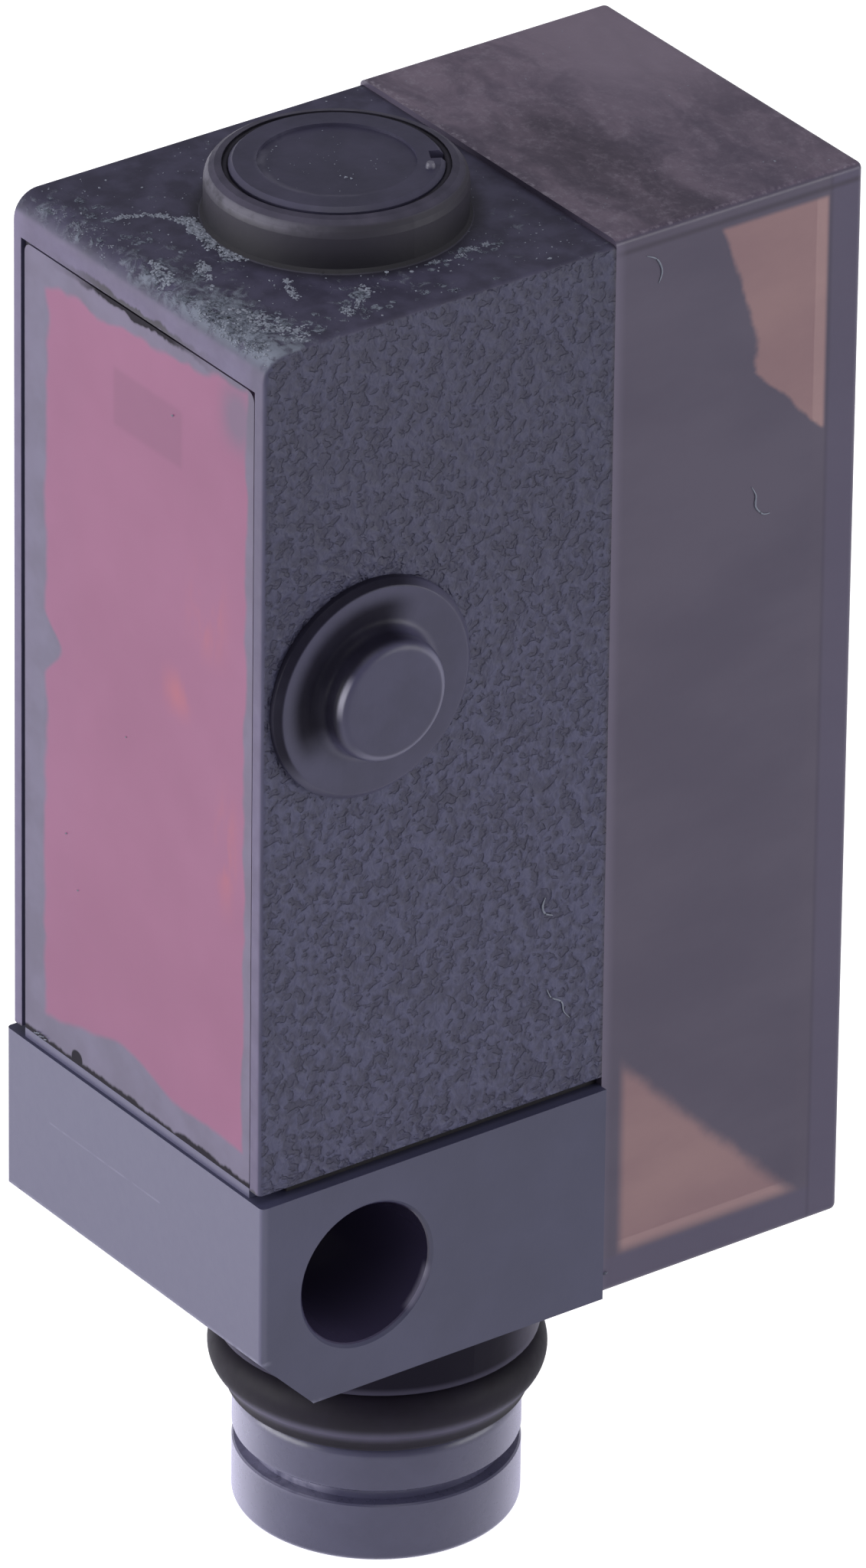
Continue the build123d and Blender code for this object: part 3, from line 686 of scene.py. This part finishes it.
def cover_material():
    """Smoked plastic. Each wall tints and hazes what is behind it once, where a ray enters the plastic. Where
    the sides are clear, the haze is painted tan as light showing through from behind.
    """
    look = Surface("cover_smoked")
    y, z = look.axis("Y"), look.axis("Z")
    side = look.ramp(look.size(look.normal("X")), 0.8, 0.95)
    top = look.ramp(look.normal("Z"), 0.6, 0.9)
    clearer = look.times(clear_areas(look), side)
    clouds = look.ramp(look.noise(3.2, 5, stretch=(1, 0.45, 1)), 0.3, 0.7)
    smoke = look.mix(clouds, (84, 77, 96), (93, 86, 104))
    # Painted light: the clear areas of the sides are coloured tan, like the white behind seen through the
    # smoke.
    tan = look.mix(clouds, (150, 119, 124), (162, 130, 132))
    color = look.mix(top, look.mix(clearer, smoke, tan), cover_top_color(look))
    rim = look.larger(look.near("Y", SEAM_Y + 0.1, 0.22), look.near("X", 5.95, 0.16))
    specks = look.ramp(look.noise(0.22, 4, 0.7), 0.5, 0.64)
    color = look.paint(color, look.times(rim, specks, top), (150, 142, 156), 0.8)
    margin = look.larger(look.ramp_mm(y, 15.42, 15.6), look.ramp_mm(z, -2.35, -2.55))
    color = look.paint(color, look.times(margin, side), (88, 82, 108), 0.6)
    for line, rgb, amount in ((look.near("Y", 15.5, 0.12), (60, 54, 74), 0.35),
                              (look.near("Z", 29.3, 0.16), (62, 55, 70), 0.7),
                              (look.near("Y", SEAM_Y, 0.42), (122, 114, 136), 0.5)):
        color = look.paint(color, look.times(line, side), rgb, amount)
    fine = look.noise(0.3, 4)
    haze = look.plastic(color, fine, 0.26, 0.4, 0.004, Specular_IOR_Level=0.35)
    amount = look.math("SUBTRACT", 0.998, look.times(clearer, 0.03), clamp=True)
    walls = look.choose(amount, look.see_through((251, 223, 211)), haze)
    leaving = look.add("ShaderNodeNewGeometry").outputs["Backfacing"]
    return look.finish(look.choose(leaving, walls, look.see_through()))


def metal_material():
    """Gold-plated contact brass with faint wipe marks."""
    look = Surface("contact_plated")
    wipes = look.noise(0.25, 4, stretch=(1, 1, 0.1))
    color = look.mix(wipes, (212, 172, 92), (232, 196, 122))
    return look.finish(look.principled(color, look.between(wipes, 0.2, 0.36), Metallic=1.0))


def board_material():
    """Solder-masked laminate with a faint track pattern under the mask."""
    look = Surface("board_masked")
    weave = look.noise(0.2, 2, stretch=(1, 1, 0.25))
    tracks = look.ramp(look.noise(0.8, 1, stretch=(1, 1, 0.2)), 0.5, 0.56)
    color = look.mix(tracks, (26, 54, 40), (38, 78, 54))
    return look.finish(look.plastic(color, weave, 0.3, 0.4, 0.01))


def lens_material():
    """Clear moulded lens plastic, seen mostly by its gloss."""
    look = Surface("lens_moulded")
    ripple = look.noise(1.0, 2)
    gloss = look.principled((206, 206, 214), look.between(ripple, 0.04, 0.09),
                            look.bump(ripple, 0.003), Specular_IOR_Level=0.6)
    return look.finish(look.choose(0.3, look.see_through((245, 245, 250)), gloss))


def rubber_material():
    """Black rubber with a painted reflection, a greyish band low on the bead."""
    look = Surface("rubber_black")
    fine = look.noise(0.3, 3)
    color = look.clouded(1.8, (20, 16, 27), (27, 22, 36))
    # Painted reflection of the floor: a greyish band low on the bead.
    band = look.times(look.near("Z", -7.3, 0.36), look.between(look.noise(0.8, 3), 0.7, 1.0))
    color = look.paint(color, band, (98, 94, 116))
    return look.finish(look.plastic(color, fine, 0.5, 0.64, 0.006, Specular_IOR_Level=0.2))


def sleeve_material():
    """Satin plastic with a glare at grazing angles, and painted highlights left of the groove and on the
    flanks.
    """
    look = Surface("sleeve_satin")
    fine = look.noise(0.35, 3)
    across = across_plug(look)
    color = look.clouded(2.1, (76, 75, 100), (84, 83, 109))
    # Painted highlight on the groove's left side, in patches.
    groove_highlight = look.times(look.near("Z", -9.62, 0.4), look.ramp_mm(across, -0.9, -2.0),
                     look.patchy(0.5, 0.26, 0.5))
    color = look.paint(color, groove_highlight, (150, 148, 172), 0.95)
    # Painted highlights on the left and right flanks of the collars.
    lit_left = look.times(look.ramp_mm(across, -2.8, -4.1), 0.45)
    lit_right = look.times(look.ramp_mm(across, 3.2, 4.1), 0.4)
    color = look.paint(color, look.larger(lit_left, lit_right), (158, 155, 180))
    satin = look.plastic(color, fine, 0.26, 0.36, 0.005)
    glare = look.add("ShaderNodeBsdfAnisotropic")
    look.link((226, 224, 244), glare.inputs["Color"])
    look.link(look.between(fine, 0.22, 0.34), glare.inputs["Roughness"])
    grazing = look.add("ShaderNodeLayerWeight").outputs["Facing"]
    amount = look.times(look.math("POWER", grazing, 3.0), 0.85)
    return look.finish(look.choose(amount, satin, glare.outputs[0]))


def button_material():
    """Satin plastic, with painted shade in the hollow over the cap, a painted highlight on the lower rim and
    a painted glint at the cap's upper left.
    """
    look = Surface("button_satin")
    fine = look.noise(0.3, 3)
    y, z = look.axis("Y"), look.axis("Z", BUTTON_Z)
    around = look.radius(y, z)
    over = look.minus(look.times(z, 0.66), look.times(y, 0.75))
    over = look.math("DIVIDE", over, around)
    color = look.clouded(1.6, (64, 62, 86), (72, 70, 96))
    # Painted shade in the hollow round the cap and on the ring's outer edge, on the side turned up and left.
    hollow = look.times(look.ramp(over, 0.08, 0.6), look.ramp_mm(around, 3.0, 2.45))
    outer = look.times(look.ramp(over, 0.0, 0.5), look.ramp_mm(around, 3.06, 3.14))
    shade_and_grime = look.times(look.larger(hollow, outer), look.ramp_mm(around, 1.7, 1.84),
                       look.between(look.noise(0.6, 4), 0.85, 1.0))
    color = look.paint(color, shade_and_grime, (26, 24, 33), 0.95)
    # Painted highlight on the cap's lower rim.
    from_rim = look.size(look.minus(around, 1.68 * MM))
    rim = look.times(look.ramp_mm(from_rim, 0.13, 0.04), look.ramp(over, 0.3, -0.3))
    color = look.paint(color, rim, (126, 124, 148), 0.7)
    # Painted glint on the cap's rounding at the upper left.
    glint = look.times(look.ramp_mm(around, 1.67, 1.74), look.ramp_mm(around, 1.83, 1.78),
                       look.near("Z", BUTTON_Z + 0.6, 0.8), look.ramp_mm(y, -1.2, -1.5))
    color = look.paint(color, glint, (176, 174, 190), 0.9)
    return look.finish(look.plastic(color, fine, 0.34, 0.44, 0.006,
                                    Specular_IOR_Level=look.between(shade_and_grime, 0.42, 0.04)))


def dial_material():
    """Moulded plastic with a patchy painted highlight on the near side of the dish's rim and a painted
    highlight on the nub.
    """
    look = Surface("dial_satin")
    fine = look.noise(0.3, 3)
    x, y = look.axis("X"), look.axis("Y", BOSS_Y)
    color = look.clouded(1.8, (58, 56, 76), (70, 67, 90))
    from_ring = look.size(look.minus(look.radius(x, y), 2.1 * MM))
    # Painted highlight, in patches, along the near side of the dish's rim.
    ring = look.times(look.inverse(look.ramp_mm(from_ring, 0.05, 0.22)), look.ramp_mm(y, 0.4, -1.4),
                      look.patchy(0.7, 0.38, 0.6))
    color = look.paint(color, ring, (112, 110, 128), 0.5)
    # Painted highlight on the nub's top.
    nub = look.ramp_mm(look.axis("Z"), 31.21, 31.3)
    color = look.paint(color, nub, (130, 128, 142), 0.6)
    return look.finish(look.plastic(color, fine, 0.4, 0.56, 0.01))


def dust_material():
    """Chalky dust for the crumbs and lint."""
    look = Surface("dust_chalky")
    fine = look.noise(0.12, 3)
    color = look.mix(fine, (110, 115, 131), (170, 175, 189))
    return look.finish(look.principled(color, 0.9, look.bump(fine, 0.01)))


def film_material():
    """A broken film of dust: chalky specks with gaps between them."""
    look = Surface("dust_film")
    color = look.mix(look.noise(0.13, 4, 0.7), (88, 93, 109), (150, 156, 171))
    chalk = look.principled(color, 0.92, Specular_IOR_Level=0.1)
    covered = look.ramp(look.noise(0.17, 4, 0.7, distort=0.4, shift=4.0), 0.44, 0.6)
    return look.finish(look.choose(covered, look.see_through(), chalk))


rubber = rubber_material()
gasket_rubber = plain("gasket_dark", (30, 26, 34), 0.6, 0.08, 0.3, 0.01, 0.75)
satin = sleeve_material()
button_plastic = button_material()
chip = plain("chip_epoxy", (34, 34, 38), 0.5)
boards = board_material()
lens = lens_material()
pins = metal_material()
dust = dust_material()
materials = {
    "front_housing": housing_material(),
    "front_window": window_material(),
    "window_seal": plain("sealant_dark", (62, 56, 72), 0.55, 0.08, 0.25, 0.02, 0.5),
    "base_block": base_material(),
    "base_gasket": gasket_rubber,
    "rear_cover": cover_material(),
    "seal_ring": rubber,
    "plug_sleeve": satin,
    "contact_insert": plain("insulator_black", (32, 30, 36), 0.5),
    "optics_carrier": plain("carrier_black", (36, 34, 44), 0.62),
    "emitter_led": plain("emitter_red", (206, 70, 56), 0.2),
    "receiver_diode": plain("receiver_dark", (40, 38, 48), 0.2),
    "board_parts": plain("small_ceramic", (166, 138, 108), 0.45),
    "flex_link": plain("flex_amber", (172, 106, 46), 0.25),
    "status_led_green": plain("led_pale_green", (122, 190, 122), 0.2),
    "status_led_yellow": plain("led_yellow", (214, 180, 84), 0.2),
    "adjuster_dial": dial_material(),
    "adjuster_seal": gasket_rubber,
    "potentiometer_rotor": plain("rotor_white", (200, 198, 190), 0.4),
    "potentiometer": plain("potentiometer_blue", (52, 82, 138), 0.35),
    "button_ring": button_plastic,
    "button_cap": button_plastic,
    "switch_plunger": plain("plunger_black", (38, 38, 42), 0.4),
    "tact_switch": plain("switch_black", (36, 36, 40), 0.4),
    **{name: chip for name in ("controller_chip", "driver_chip")},
    **{name: boards for name in ("connector_board", "optics_board", "main_board", "indicator_board")},
    **{name: lens for name in ("emitter_lens", "receiver_lens")},
    **{f"contact_pin_{number}": pins for number in range(1, 5)},
}
for node_name, material in materials.items():
    mesh = nodes[node_name].data
    mesh.materials.clear()
    mesh.materials.append(material)


# Turned pieces, finer than the solids they stand for

def turned(name, profile, centre, axis, material, body, segments=160):
    """A piece turned about an axis. The profile is a closed list of (radius, height) in millimetres."""
    bm = bmesh.new()
    turn_axis = Vector((0, 0, 1)) if axis == "Z" else Vector((1, 0, 0))
    rings = []
    for radius, height in profile:
        start = Vector((radius, 0, height) if axis == "Z" else (height, radius, 0)) * MM
        ring = []
        for step in range(segments if radius else 1):
            turn = Matrix.Rotation(math.tau * step / segments, 3, turn_axis)
            ring.append(bm.verts.new(turn @ start))
        rings.append(ring)
    for first, second in zip(rings, rings[1:] + rings[:1]):
        if len(first) == 1 and len(second) == 1:
            continue
        for step in range(segments):
            after = (step + 1) % segments
            corners = (first[step % len(first)], second[step % len(second)], second[after % len(second)],
                       first[after % len(first)])
            bm.faces.new(list(dict.fromkeys(corners)))
    bmesh.ops.translate(bm, verts=bm.verts, vec=Vector(centre) * MM)
    bmesh.ops.recalc_face_normals(bm, faces=bm.faces)
    for edge in bm.edges:
        if edge.is_manifold and edge.calc_face_angle(0) > SHARP_ANGLE:
            edge.smooth = False
    return piece_from(name, bm, material, body)


def arc(centre_r, centre_h, radius, start, end, steps=10):
    """Points of a rounding, in millimetres. Angles in degrees from the outward direction."""
    out = []
    for step in range(steps + 1):
        angle = math.radians(start + (end - start) * step / steps)
        out.append((centre_r + radius * math.cos(angle), centre_h + radius * math.sin(angle)))
    return out


SHARP_ANGLE = math.radians(32)
GLAND_R, COLLAR_TOP = 3.3, -7.96


def make_seal_ring():
    """The rubber ring: a lip on the collar and a round bead over it."""
    lip_r, lip_round = 4.35, 0.17
    bead_r, bead_round, bead_z = 4.83, 0.85, -6.76
    profile = [(GLAND_R, COLLAR_TOP),
               *arc(lip_r - lip_round, COLLAR_TOP + lip_round, lip_round, -90, 0, 6),
               *arc(bead_r - bead_round, bead_z, bead_round, -50, 90, 24),
               (GLAND_R, bead_z + bead_round)]
    seal_piece = turned("seal_ring_fine", profile, (0, PLUG_Y, 0), "Z", rubber, "housing")
    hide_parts("seal_ring")


def make_plug_sleeve():
    """The snap-in sleeve: a tube up into the base, two collars with the snap groove, and an open socket."""
    hole_r, socket_r, mouth_r, tube_r = 2.35, 3.15, 3.23, 3.2
    top_z, seat_z, socket_floor_z, low_z = -2.76, -5.91, -4.76, -11.7
    collar_r, shoulder, foot_round = 4.12, 0.4, 0.2
    groove_r, groove_top, groove_low, bevel = 3.74, -9.39, -9.83, 0.05
    profile = [(hole_r, top_z), (tube_r, top_z), (tube_r, seat_z), (GLAND_R, seat_z), (GLAND_R, COLLAR_TOP),
               *arc(collar_r - shoulder, COLLAR_TOP - shoulder, shoulder, 90, 0),
               (collar_r, groove_top + bevel), (collar_r - bevel, groove_top), (groove_r, groove_top),
               (groove_r, groove_low), (collar_r - bevel, groove_low), (collar_r, groove_low - bevel),
               *arc(collar_r - foot_round, low_z + foot_round, foot_round, 0, -90),
               (mouth_r, low_z), (socket_r, low_z + mouth_r - socket_r), (socket_r, socket_floor_z),
               (hole_r, socket_floor_z)]
    place = (0, PLUG_Y, 0)
    sleeve_piece = turned("plug_sleeve_fine", profile, place, "Z", satin, "housing")
    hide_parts("plug_sleeve")


def make_button():
    """One moulding of rim, flare and cap, which rides on no body, and a stem that rides on the button."""
    cap_top, cap_flat_r, cap_round = 7.25, 1.49, 0.36
    flare_r, flare_x, flare_round = 2.2, 6.7, 0.35
    ring_top, ring_flat_r, ring_r, bevel_round = 6.35, 3.0, 3.3, 0.07
    seat_x = SIDE_X + 0.01
    skin = [(0, cap_top), *[(cap_flat_r * share / 6, cap_top) for share in range(1, 6)],
            *arc(cap_flat_r, cap_top - cap_round, cap_round, 90, 0),
            *arc(flare_r, flare_x, flare_round, 180, 270, 14), (2.5, ring_top), (ring_flat_r, ring_top),
            *arc(ring_flat_r + 0.08, ring_top - bevel_round, bevel_round, 90, 45, 3),
            *arc(ring_r - bevel_round, ring_top - 0.2, bevel_round, 45, 0, 3),
            (ring_r, seat_x), (2.56, seat_x), (2.5, 6.06), (2.1, 6.1), (1.72, 6.3), (1.6, 6.55), (1.4, 6.75),
            (0, 6.75)]
    place = (0, 0, BUTTON_Z)
    button_piece = turned("button_moulding", skin, place, "X", button_plastic, None)
    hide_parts("button_ring", "button_cap")
    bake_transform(button_piece)
    stem = [(0, 6.7), (1.3, 6.7), (1.45, 6.6), (1.5, 6.3), (1.5, 4.95), (1.65, 4.9), (1.7, 4.85), (1.7, 4.7),
            (0, 4.7)]
    turned("button_stem", stem, place, "X", button_plastic, "button", 64)


make_seal_ring()
make_plug_sleeve()
make_button()


# Dust, crumbs and lint, as the photograph shows them. Places and sizes are in millimetres

def roof_height(y):
    """The roof's height over a place, with the rounded brow at the front."""
    start = FRONT_Y + BROW_R
    if y >= start:
        return ROOF_Z
    drop = min(start - y, BROW_R)
    return ROOF_Z - BROW_R + math.sqrt(max(BROW_R ** 2 - drop * drop, 0.0))


def crumb_shape():
    """The points and faces of a small ball, used again for each crumb."""
    ball = bmesh.new()
    bmesh.ops.create_icosphere(ball, subdivisions=1, radius=1.0)
    points = [vertex.co.copy() for vertex in ball.verts]
    faces = [[vertex.index for vertex in face.verts] for face in ball.faces]
    ball.free()
    return points, faces


CRUMB_POINTS, CRUMB_FACES = crumb_shape()


def lump(bm, place, size, draws, flat):
    """Adds one irregular crumb."""
    seed = Vector((draws.uniform(0, 50), draws.uniform(0, 50), draws.uniform(0, 50)))
    turn = Matrix.Rotation(draws.uniform(0, math.tau), 3, "Z")
    made = []
    for point in CRUMB_POINTS:
        swell = 0.75 + 0.6 * noise.noise(point * 1.3 + seed)
        shape = turn @ Vector([point[k] * flat[k] * (0.8 + 0.5 * draws.random()) for k in range(3)])
        made.append(bm.verts.new((Vector(place) + shape * size * swell) * MM))
    for corners in CRUMB_FACES:
        bm.faces.new([made[corner] for corner in corners])


def crumbs(name, spots, material, body, seed, flat=(1, 1, 0.5)):
    """One piece of many crumbs. Each spot is (x, y, z, size)."""
    draws = random.Random(seed)
    bm = bmesh.new()
    for x, y, z, size in spots:
        lump(bm, (x, y, z), size, draws, flat)
    piece_from(name, bm, material, body, smooth=False)


rng = random.Random(11)


def along(points, count, spread):
    """Places scattered along a bent line."""
    out = []
    for _ in range(count):
        at = rng.random() * (len(points) - 1)
        first = points[int(at)]
        second = points[min(int(at) + 1, len(points) - 1)]
        share = at - int(at)
        x = first[0] + (second[0] - first[0]) * share + rng.gauss(0, spread)
        y = first[1] + (second[1] - first[1]) * share + rng.gauss(0, spread)
        out.append((x, y))
    return out


def clumps(points, count, spread, size):
    """Clumps of touching crumbs scattered along a bent line. Each crumb is (x, y, size)."""
    out = []
    for x, y in along(points, count, spread):
        wide = size * (0.5 + 0.8 * rng.random())
        for _ in range(rng.randint(3, 9)):
            out.append((x + rng.gauss(0, wide), y + rng.gauss(0, wide), wide * (0.45 + 0.6 * rng.random())))
    return out


def on_roof(x, y, low_x, high_x, front_gap, rear_gap, boss_gap):
    """Whether a place lies on the roof, clear of its edges and of the boss."""
    inside = low_x < x < high_x and FRONT_Y + front_gap < y < SEAM_Y - rear_gap
    return inside and math.hypot(x, y - BOSS_Y) > BOSS_R + boss_gap


# Streaks and clumps of dust on the roof: a bent line, how many, how far they stray, and their size

THIN_STREAK = [(-3.1, -2.15), (-2.99, -1.8), (-2.85, -1.35), (-2.6, -1.04), (-2.2, -0.88), (-2.0, -0.62)]
THICK_STREAK = [(-1.9, -0.58), (-1.6, -0.56), (-1.2, -0.66), (-0.8, -0.7), (-0.1, -0.76), (0.45, -0.78),
                (0.8, -0.62)]
ROOF_CLUMPS = (
    (THIN_STREAK, 60, 0.035, 0.045),
    (THICK_STREAK, 110, 0.09, 0.075),
    ([(-0.25, -2.75), (0.35, -2.95), (0.85, -3.05)], 22, 0.12, 0.07),
    ([(0.35, -1.7), (0.8, -1.85), (1.4, -2.2)], 26, 0.09, 0.06),
    ([(2.55, -0.4), (3.15, -0.65), (3.65, -0.85)], 20, 0.06, 0.05),
    ([(4.0, 1.25), (4.45, 0.75), (4.85, 0.1), (5.1, -0.3)], 26, 0.1, 0.05),
    ([(2.2, -3.2), (3.5, -3.25), (4.5, -3.35), (5.4, -3.3)], 120, 0.22, 0.06),
    ([(3.5, -2.5), (4.6, -2.45), (5.1, -1.95), (5.5, -1.85)], 60, 0.2, 0.06),
    ([(3.97, 3.3), (4.07, 4.3), (3.88, 4.85), (3.92, 5.4)], 26, 0.08, 0.04),
    ([(-4.8, -3.2), (-3.2, -3.0), (-1.5, -3.1)], 26, 0.25, 0.035),
)
ROOF_LUMPS = [(3.69, 2.14, 0.085), (4.07, 2.69, 0.085), (-4.84, -1.41, 0.05), (-4.19, -0.46, 0.05),
              (-5.12, -1.01, 0.05), (5.56, 6.25, 0.09)]
FILM_PATCHES = (
    ([(-0.3, -2.75), (0.85, -3.0)], 8, 0.15, 0.2),
    ([(0.3, -1.8), (1.4, -2.3)], 8, 0.16, 0.2),
    ([(4.0, 1.25), (4.85, 0.1)], 10, 0.2, 0.22),
    ([(2.2, -3.0), (3.6, -3.05), (5.0, -3.0)], 60, 0.3, 0.26),
    ([(3.4, -2.5), (4.6, -2.4), (5.4, -1.7)], 40, 0.32, 0.24),
    ([(-5.0, -2.9), (-2.8, -2.7), (-0.6, -2.8)], 30, 0.4, 0.2),
    ([(3.97, 3.0), (4.1, 4.3), (3.95, 5.5)], 22, 0.2, 0.16),
    ([(5.2, -1.0), (5.3, 2.0), (5.2, 5.0)], 26, 0.3, 0.16),
)


def roof_dust():
    """Crumbs on the roof: streaks, clumps by the brow and the boss, single lumps and fine specks."""
    spots = []
    for points, count, spread, size in ROOF_CLUMPS:
        spots += clumps(points, count, spread, size)
    spots += ROOF_LUMPS
    for _ in range(420):
        spots.append((rng.uniform(-5.7, 5.7), rng.uniform(-3.2, 7.9), 0.016 + 0.026 * rng.random() ** 2))
    placed = [(x, y, roof_height(y) + size * 0.1, size) for x, y, size in spots
              if on_roof(x, y, -5.8, 5.82, front_gap=0.14, rear_gap=0.05, boss_gap=0.05)]
    crumbs("roof_dust", placed, dust, "housing", 5, (1, 1, 0.4))


def roof_film():
    """Thin, broken patches of dust under and round the crumbs."""
    patches = [(x, y, 0.2 + 0.14 * rng.random()) for x, y in along(THICK_STREAK, 26, 0.08)]
    for points, count, spread, size in FILM_PATCHES:
        patches += [(x, y, size * (0.6 + 0.7 * rng.random())) for x, y in along(points, count, spread)]
    placed = [(x, y, roof_height(y) + 0.004, size) for x, y, size in patches
              if on_roof(x, y, -5.6, 5.66, front_gap=0.3, rear_gap=0.2, boss_gap=0.17)]
    crumbs("roof_film", placed, film_material(), "housing", 10, (1, 1, 0.06))


def dial_dust():
    """Crumbs by the dial's middle, an arc of them along the dish's rim, and fine specks."""
    top, rim_z, rim_r = 31.11, 31.105, 1.9
    spots = [(0.88, 2.77, top, 0.08), (1.02, 2.86, top, 0.05), (0.72, 2.7, top, 0.035)]
    spots += [(rim_r * math.cos(a), BOSS_Y + rim_r * math.sin(a), rim_z, 0.02 + 0.025 * rng.random())
              for a in map(math.radians, (205, 212, 230, 246, 251, 268, 290))]
    for _ in range(40):
        x, y = rng.uniform(-rim_r, rim_r), BOSS_Y + rng.uniform(-1.2, 1.2)
        spots.append((x, y, rim_z, 0.012 + 0.012 * rng.random()))
    crumbs("dial_dust", spots, dust, "dial", 6)


def cover_dust():
    """Two crumbs and fine specks on the cover's top, and one crumb at the foot of its seam."""
    spots = [(-2.72, 15.39, COVER_TOP_Z - 0.02, 0.06), (4.58, 14.59, COVER_TOP_Z - 0.02, 0.075)]
    for _ in range(110):
        x, y = rng.uniform(-5.5, 5.5), rng.uniform(8.6, 16.0)
        spots.append((x, y, COVER_TOP_Z - 0.005, 0.012 + 0.02 * rng.random() ** 2))
    spots += [(SIDE_X, 8.4, -2.9, 0.1)]
    crumbs("cover_dust", spots, dust, "housing", 7)


def window_dust():
    """Four crumbs on the window."""
    spots = [(x, WINDOW_DUST_Y, z, size) for x, z, size in ((-0.53, 15.05, 0.04), (-3.42, 10.7, 0.05),
                                                            (-2.85, 9.14, 0.045), (1.65, 25.99, 0.06))]
    crumbs("window_dust", spots, dust, "housing", 8)


def joint_chips():
    """A row of small chips at the left end of the joint under the window."""
    chips = [(-4.9 + 0.06 * k, FRONT_Y - 0.005, 3.64 + 0.02 * (k % 4), 0.045) for k in range(10)]
    crumbs("joint_chips", chips, dust, "housing", 9)


def gap_grime():
    """Grime packed in the adjuster's gap, uneven in height and clear of the dial."""
    steps, grime_z, depth = 180, 31.03, 0.4
    inner_r, middle_r, outer_r = 2.99, 3.06, 3.14
    bm = bmesh.new()
    rings = []
    section = ((inner_r, -depth), (inner_r, 0.0), (middle_r, 0.02), (outer_r, 0.0), (outer_r, -depth))
    for radius, lift in section:
        ring = []
        for step in range(steps):
            angle = math.tau * step / steps
            x, y = radius * math.cos(angle), BOSS_Y + radius * math.sin(angle)
            swell = 0.05 * noise.noise(Vector((3 * math.cos(angle), 3 * math.sin(angle), radius * 2)))
            near_side = 0.07 * max(0.0, math.cos(angle + 0.95))
            ring.append(bm.verts.new(Vector((x, y, grime_z + lift + swell - near_side)) * MM))
        rings.append(ring)
    for first, second in zip(rings, rings[1:] + rings[:1]):
        for step in range(steps):
            after = (step + 1) % steps
            bm.faces.new((first[step], first[after], second[after], second[step]))
    bmesh.ops.recalc_face_normals(bm, faces=bm.faces)
    shade_and_grime = plain("grime_packed", (50, 47, 60), 0.8, 0.08, 0.2, 0.02, 0.7)
    piece_from("gap_grime", bm, shade_and_grime, "housing")


def smooth_path(points, steps=8):
    """A curve through the points, a few steps for each stretch."""
    path = []
    last = len(points) - 1
    for index in range(last):
        p0, p1, p2, p3 = (Vector(points[min(max(index + offset, 0), last)]) for offset in (-1, 0, 1, 2))
        for step in range(steps):
            t = step / steps
            path.append(0.5 * (2 * p1 + (p2 - p0) * t + (2 * p0 - 5 * p1 + 4 * p2 - p3) * t * t
                               + (3 * p1 - p0 - 3 * p2 + p3) * t * t * t))
    path.append(Vector(points[last]))
    return path


def lint(name, points, thick, sides=6):
    """A curled hair of lint through the points, made as a thin tapered tube."""
    path = smooth_path(points)
    last = len(path) - 1
    bm = bmesh.new()
    rings = []
    for index, point in enumerate(path):
        way = (path[min(index + 1, last)] - path[max(index - 1, 0)]).normalized()
        across = way.orthogonal().normalized()
        other = way.cross(across)
        share = min(max(index / last, 0.04), 0.96)
        radius = thick * (0.35 + 0.65 * math.sin(math.pi * share))
        angles = [math.tau * side / sides for side in range(sides)]
        rings.append([bm.verts.new((point + (across * math.cos(a) + other * math.sin(a)) * radius) * MM)
                      for a in angles])
    for first, second in zip(rings, rings[1:]):
        for side in range(sides):
            after = (side + 1) % sides
            bm.faces.new((first[side], first[after], second[after], second[side]))
    bm.faces.new(reversed(rings[0]))
    bm.faces.new(rings[-1])
    bmesh.ops.recalc_face_normals(bm, faces=bm.faces)
    piece_from(name, bm, dust, "housing")


LINT = (
    ("lint_side_upper", 0.03, "housing_plastic",
     [(6.02, 6.1, 9.95), (6.03, 6.0, 9.7), (6.02, 6.1, 9.45), (6.03, 6.35, 9.32)]),
    ("lint_side_lower", 0.025, "housing_plastic",
     [(6.02, 6.2, 7.0), (6.03, 6.35, 6.7), (6.03, 6.7, 6.45), (6.02, 6.8, 6.1), (6.02, 7.0, 5.85)]),
    ("lint_cover_upper", 0.028, "smoked_cover",
     [(6.01, 9.2, 29.0), (6.02, 9.55, 28.8), (6.02, 9.72, 28.4), (6.01, 9.62, 28.05)]),
    ("lint_cover_middle", 0.028, "smoked_cover",
     [(6.01, 12.95, 20.75), (6.02, 13.1, 20.45), (6.02, 13.1, 20.1), (6.02, 13.35, 19.8),
      (6.01, 13.6, 19.75)]),
)

roof_dust()
roof_film()
dial_dust()
cover_dust()
window_dust()
joint_chips()
gap_grime()
for name, thick, slot, points in LINT:
    lint(name, points, thick)
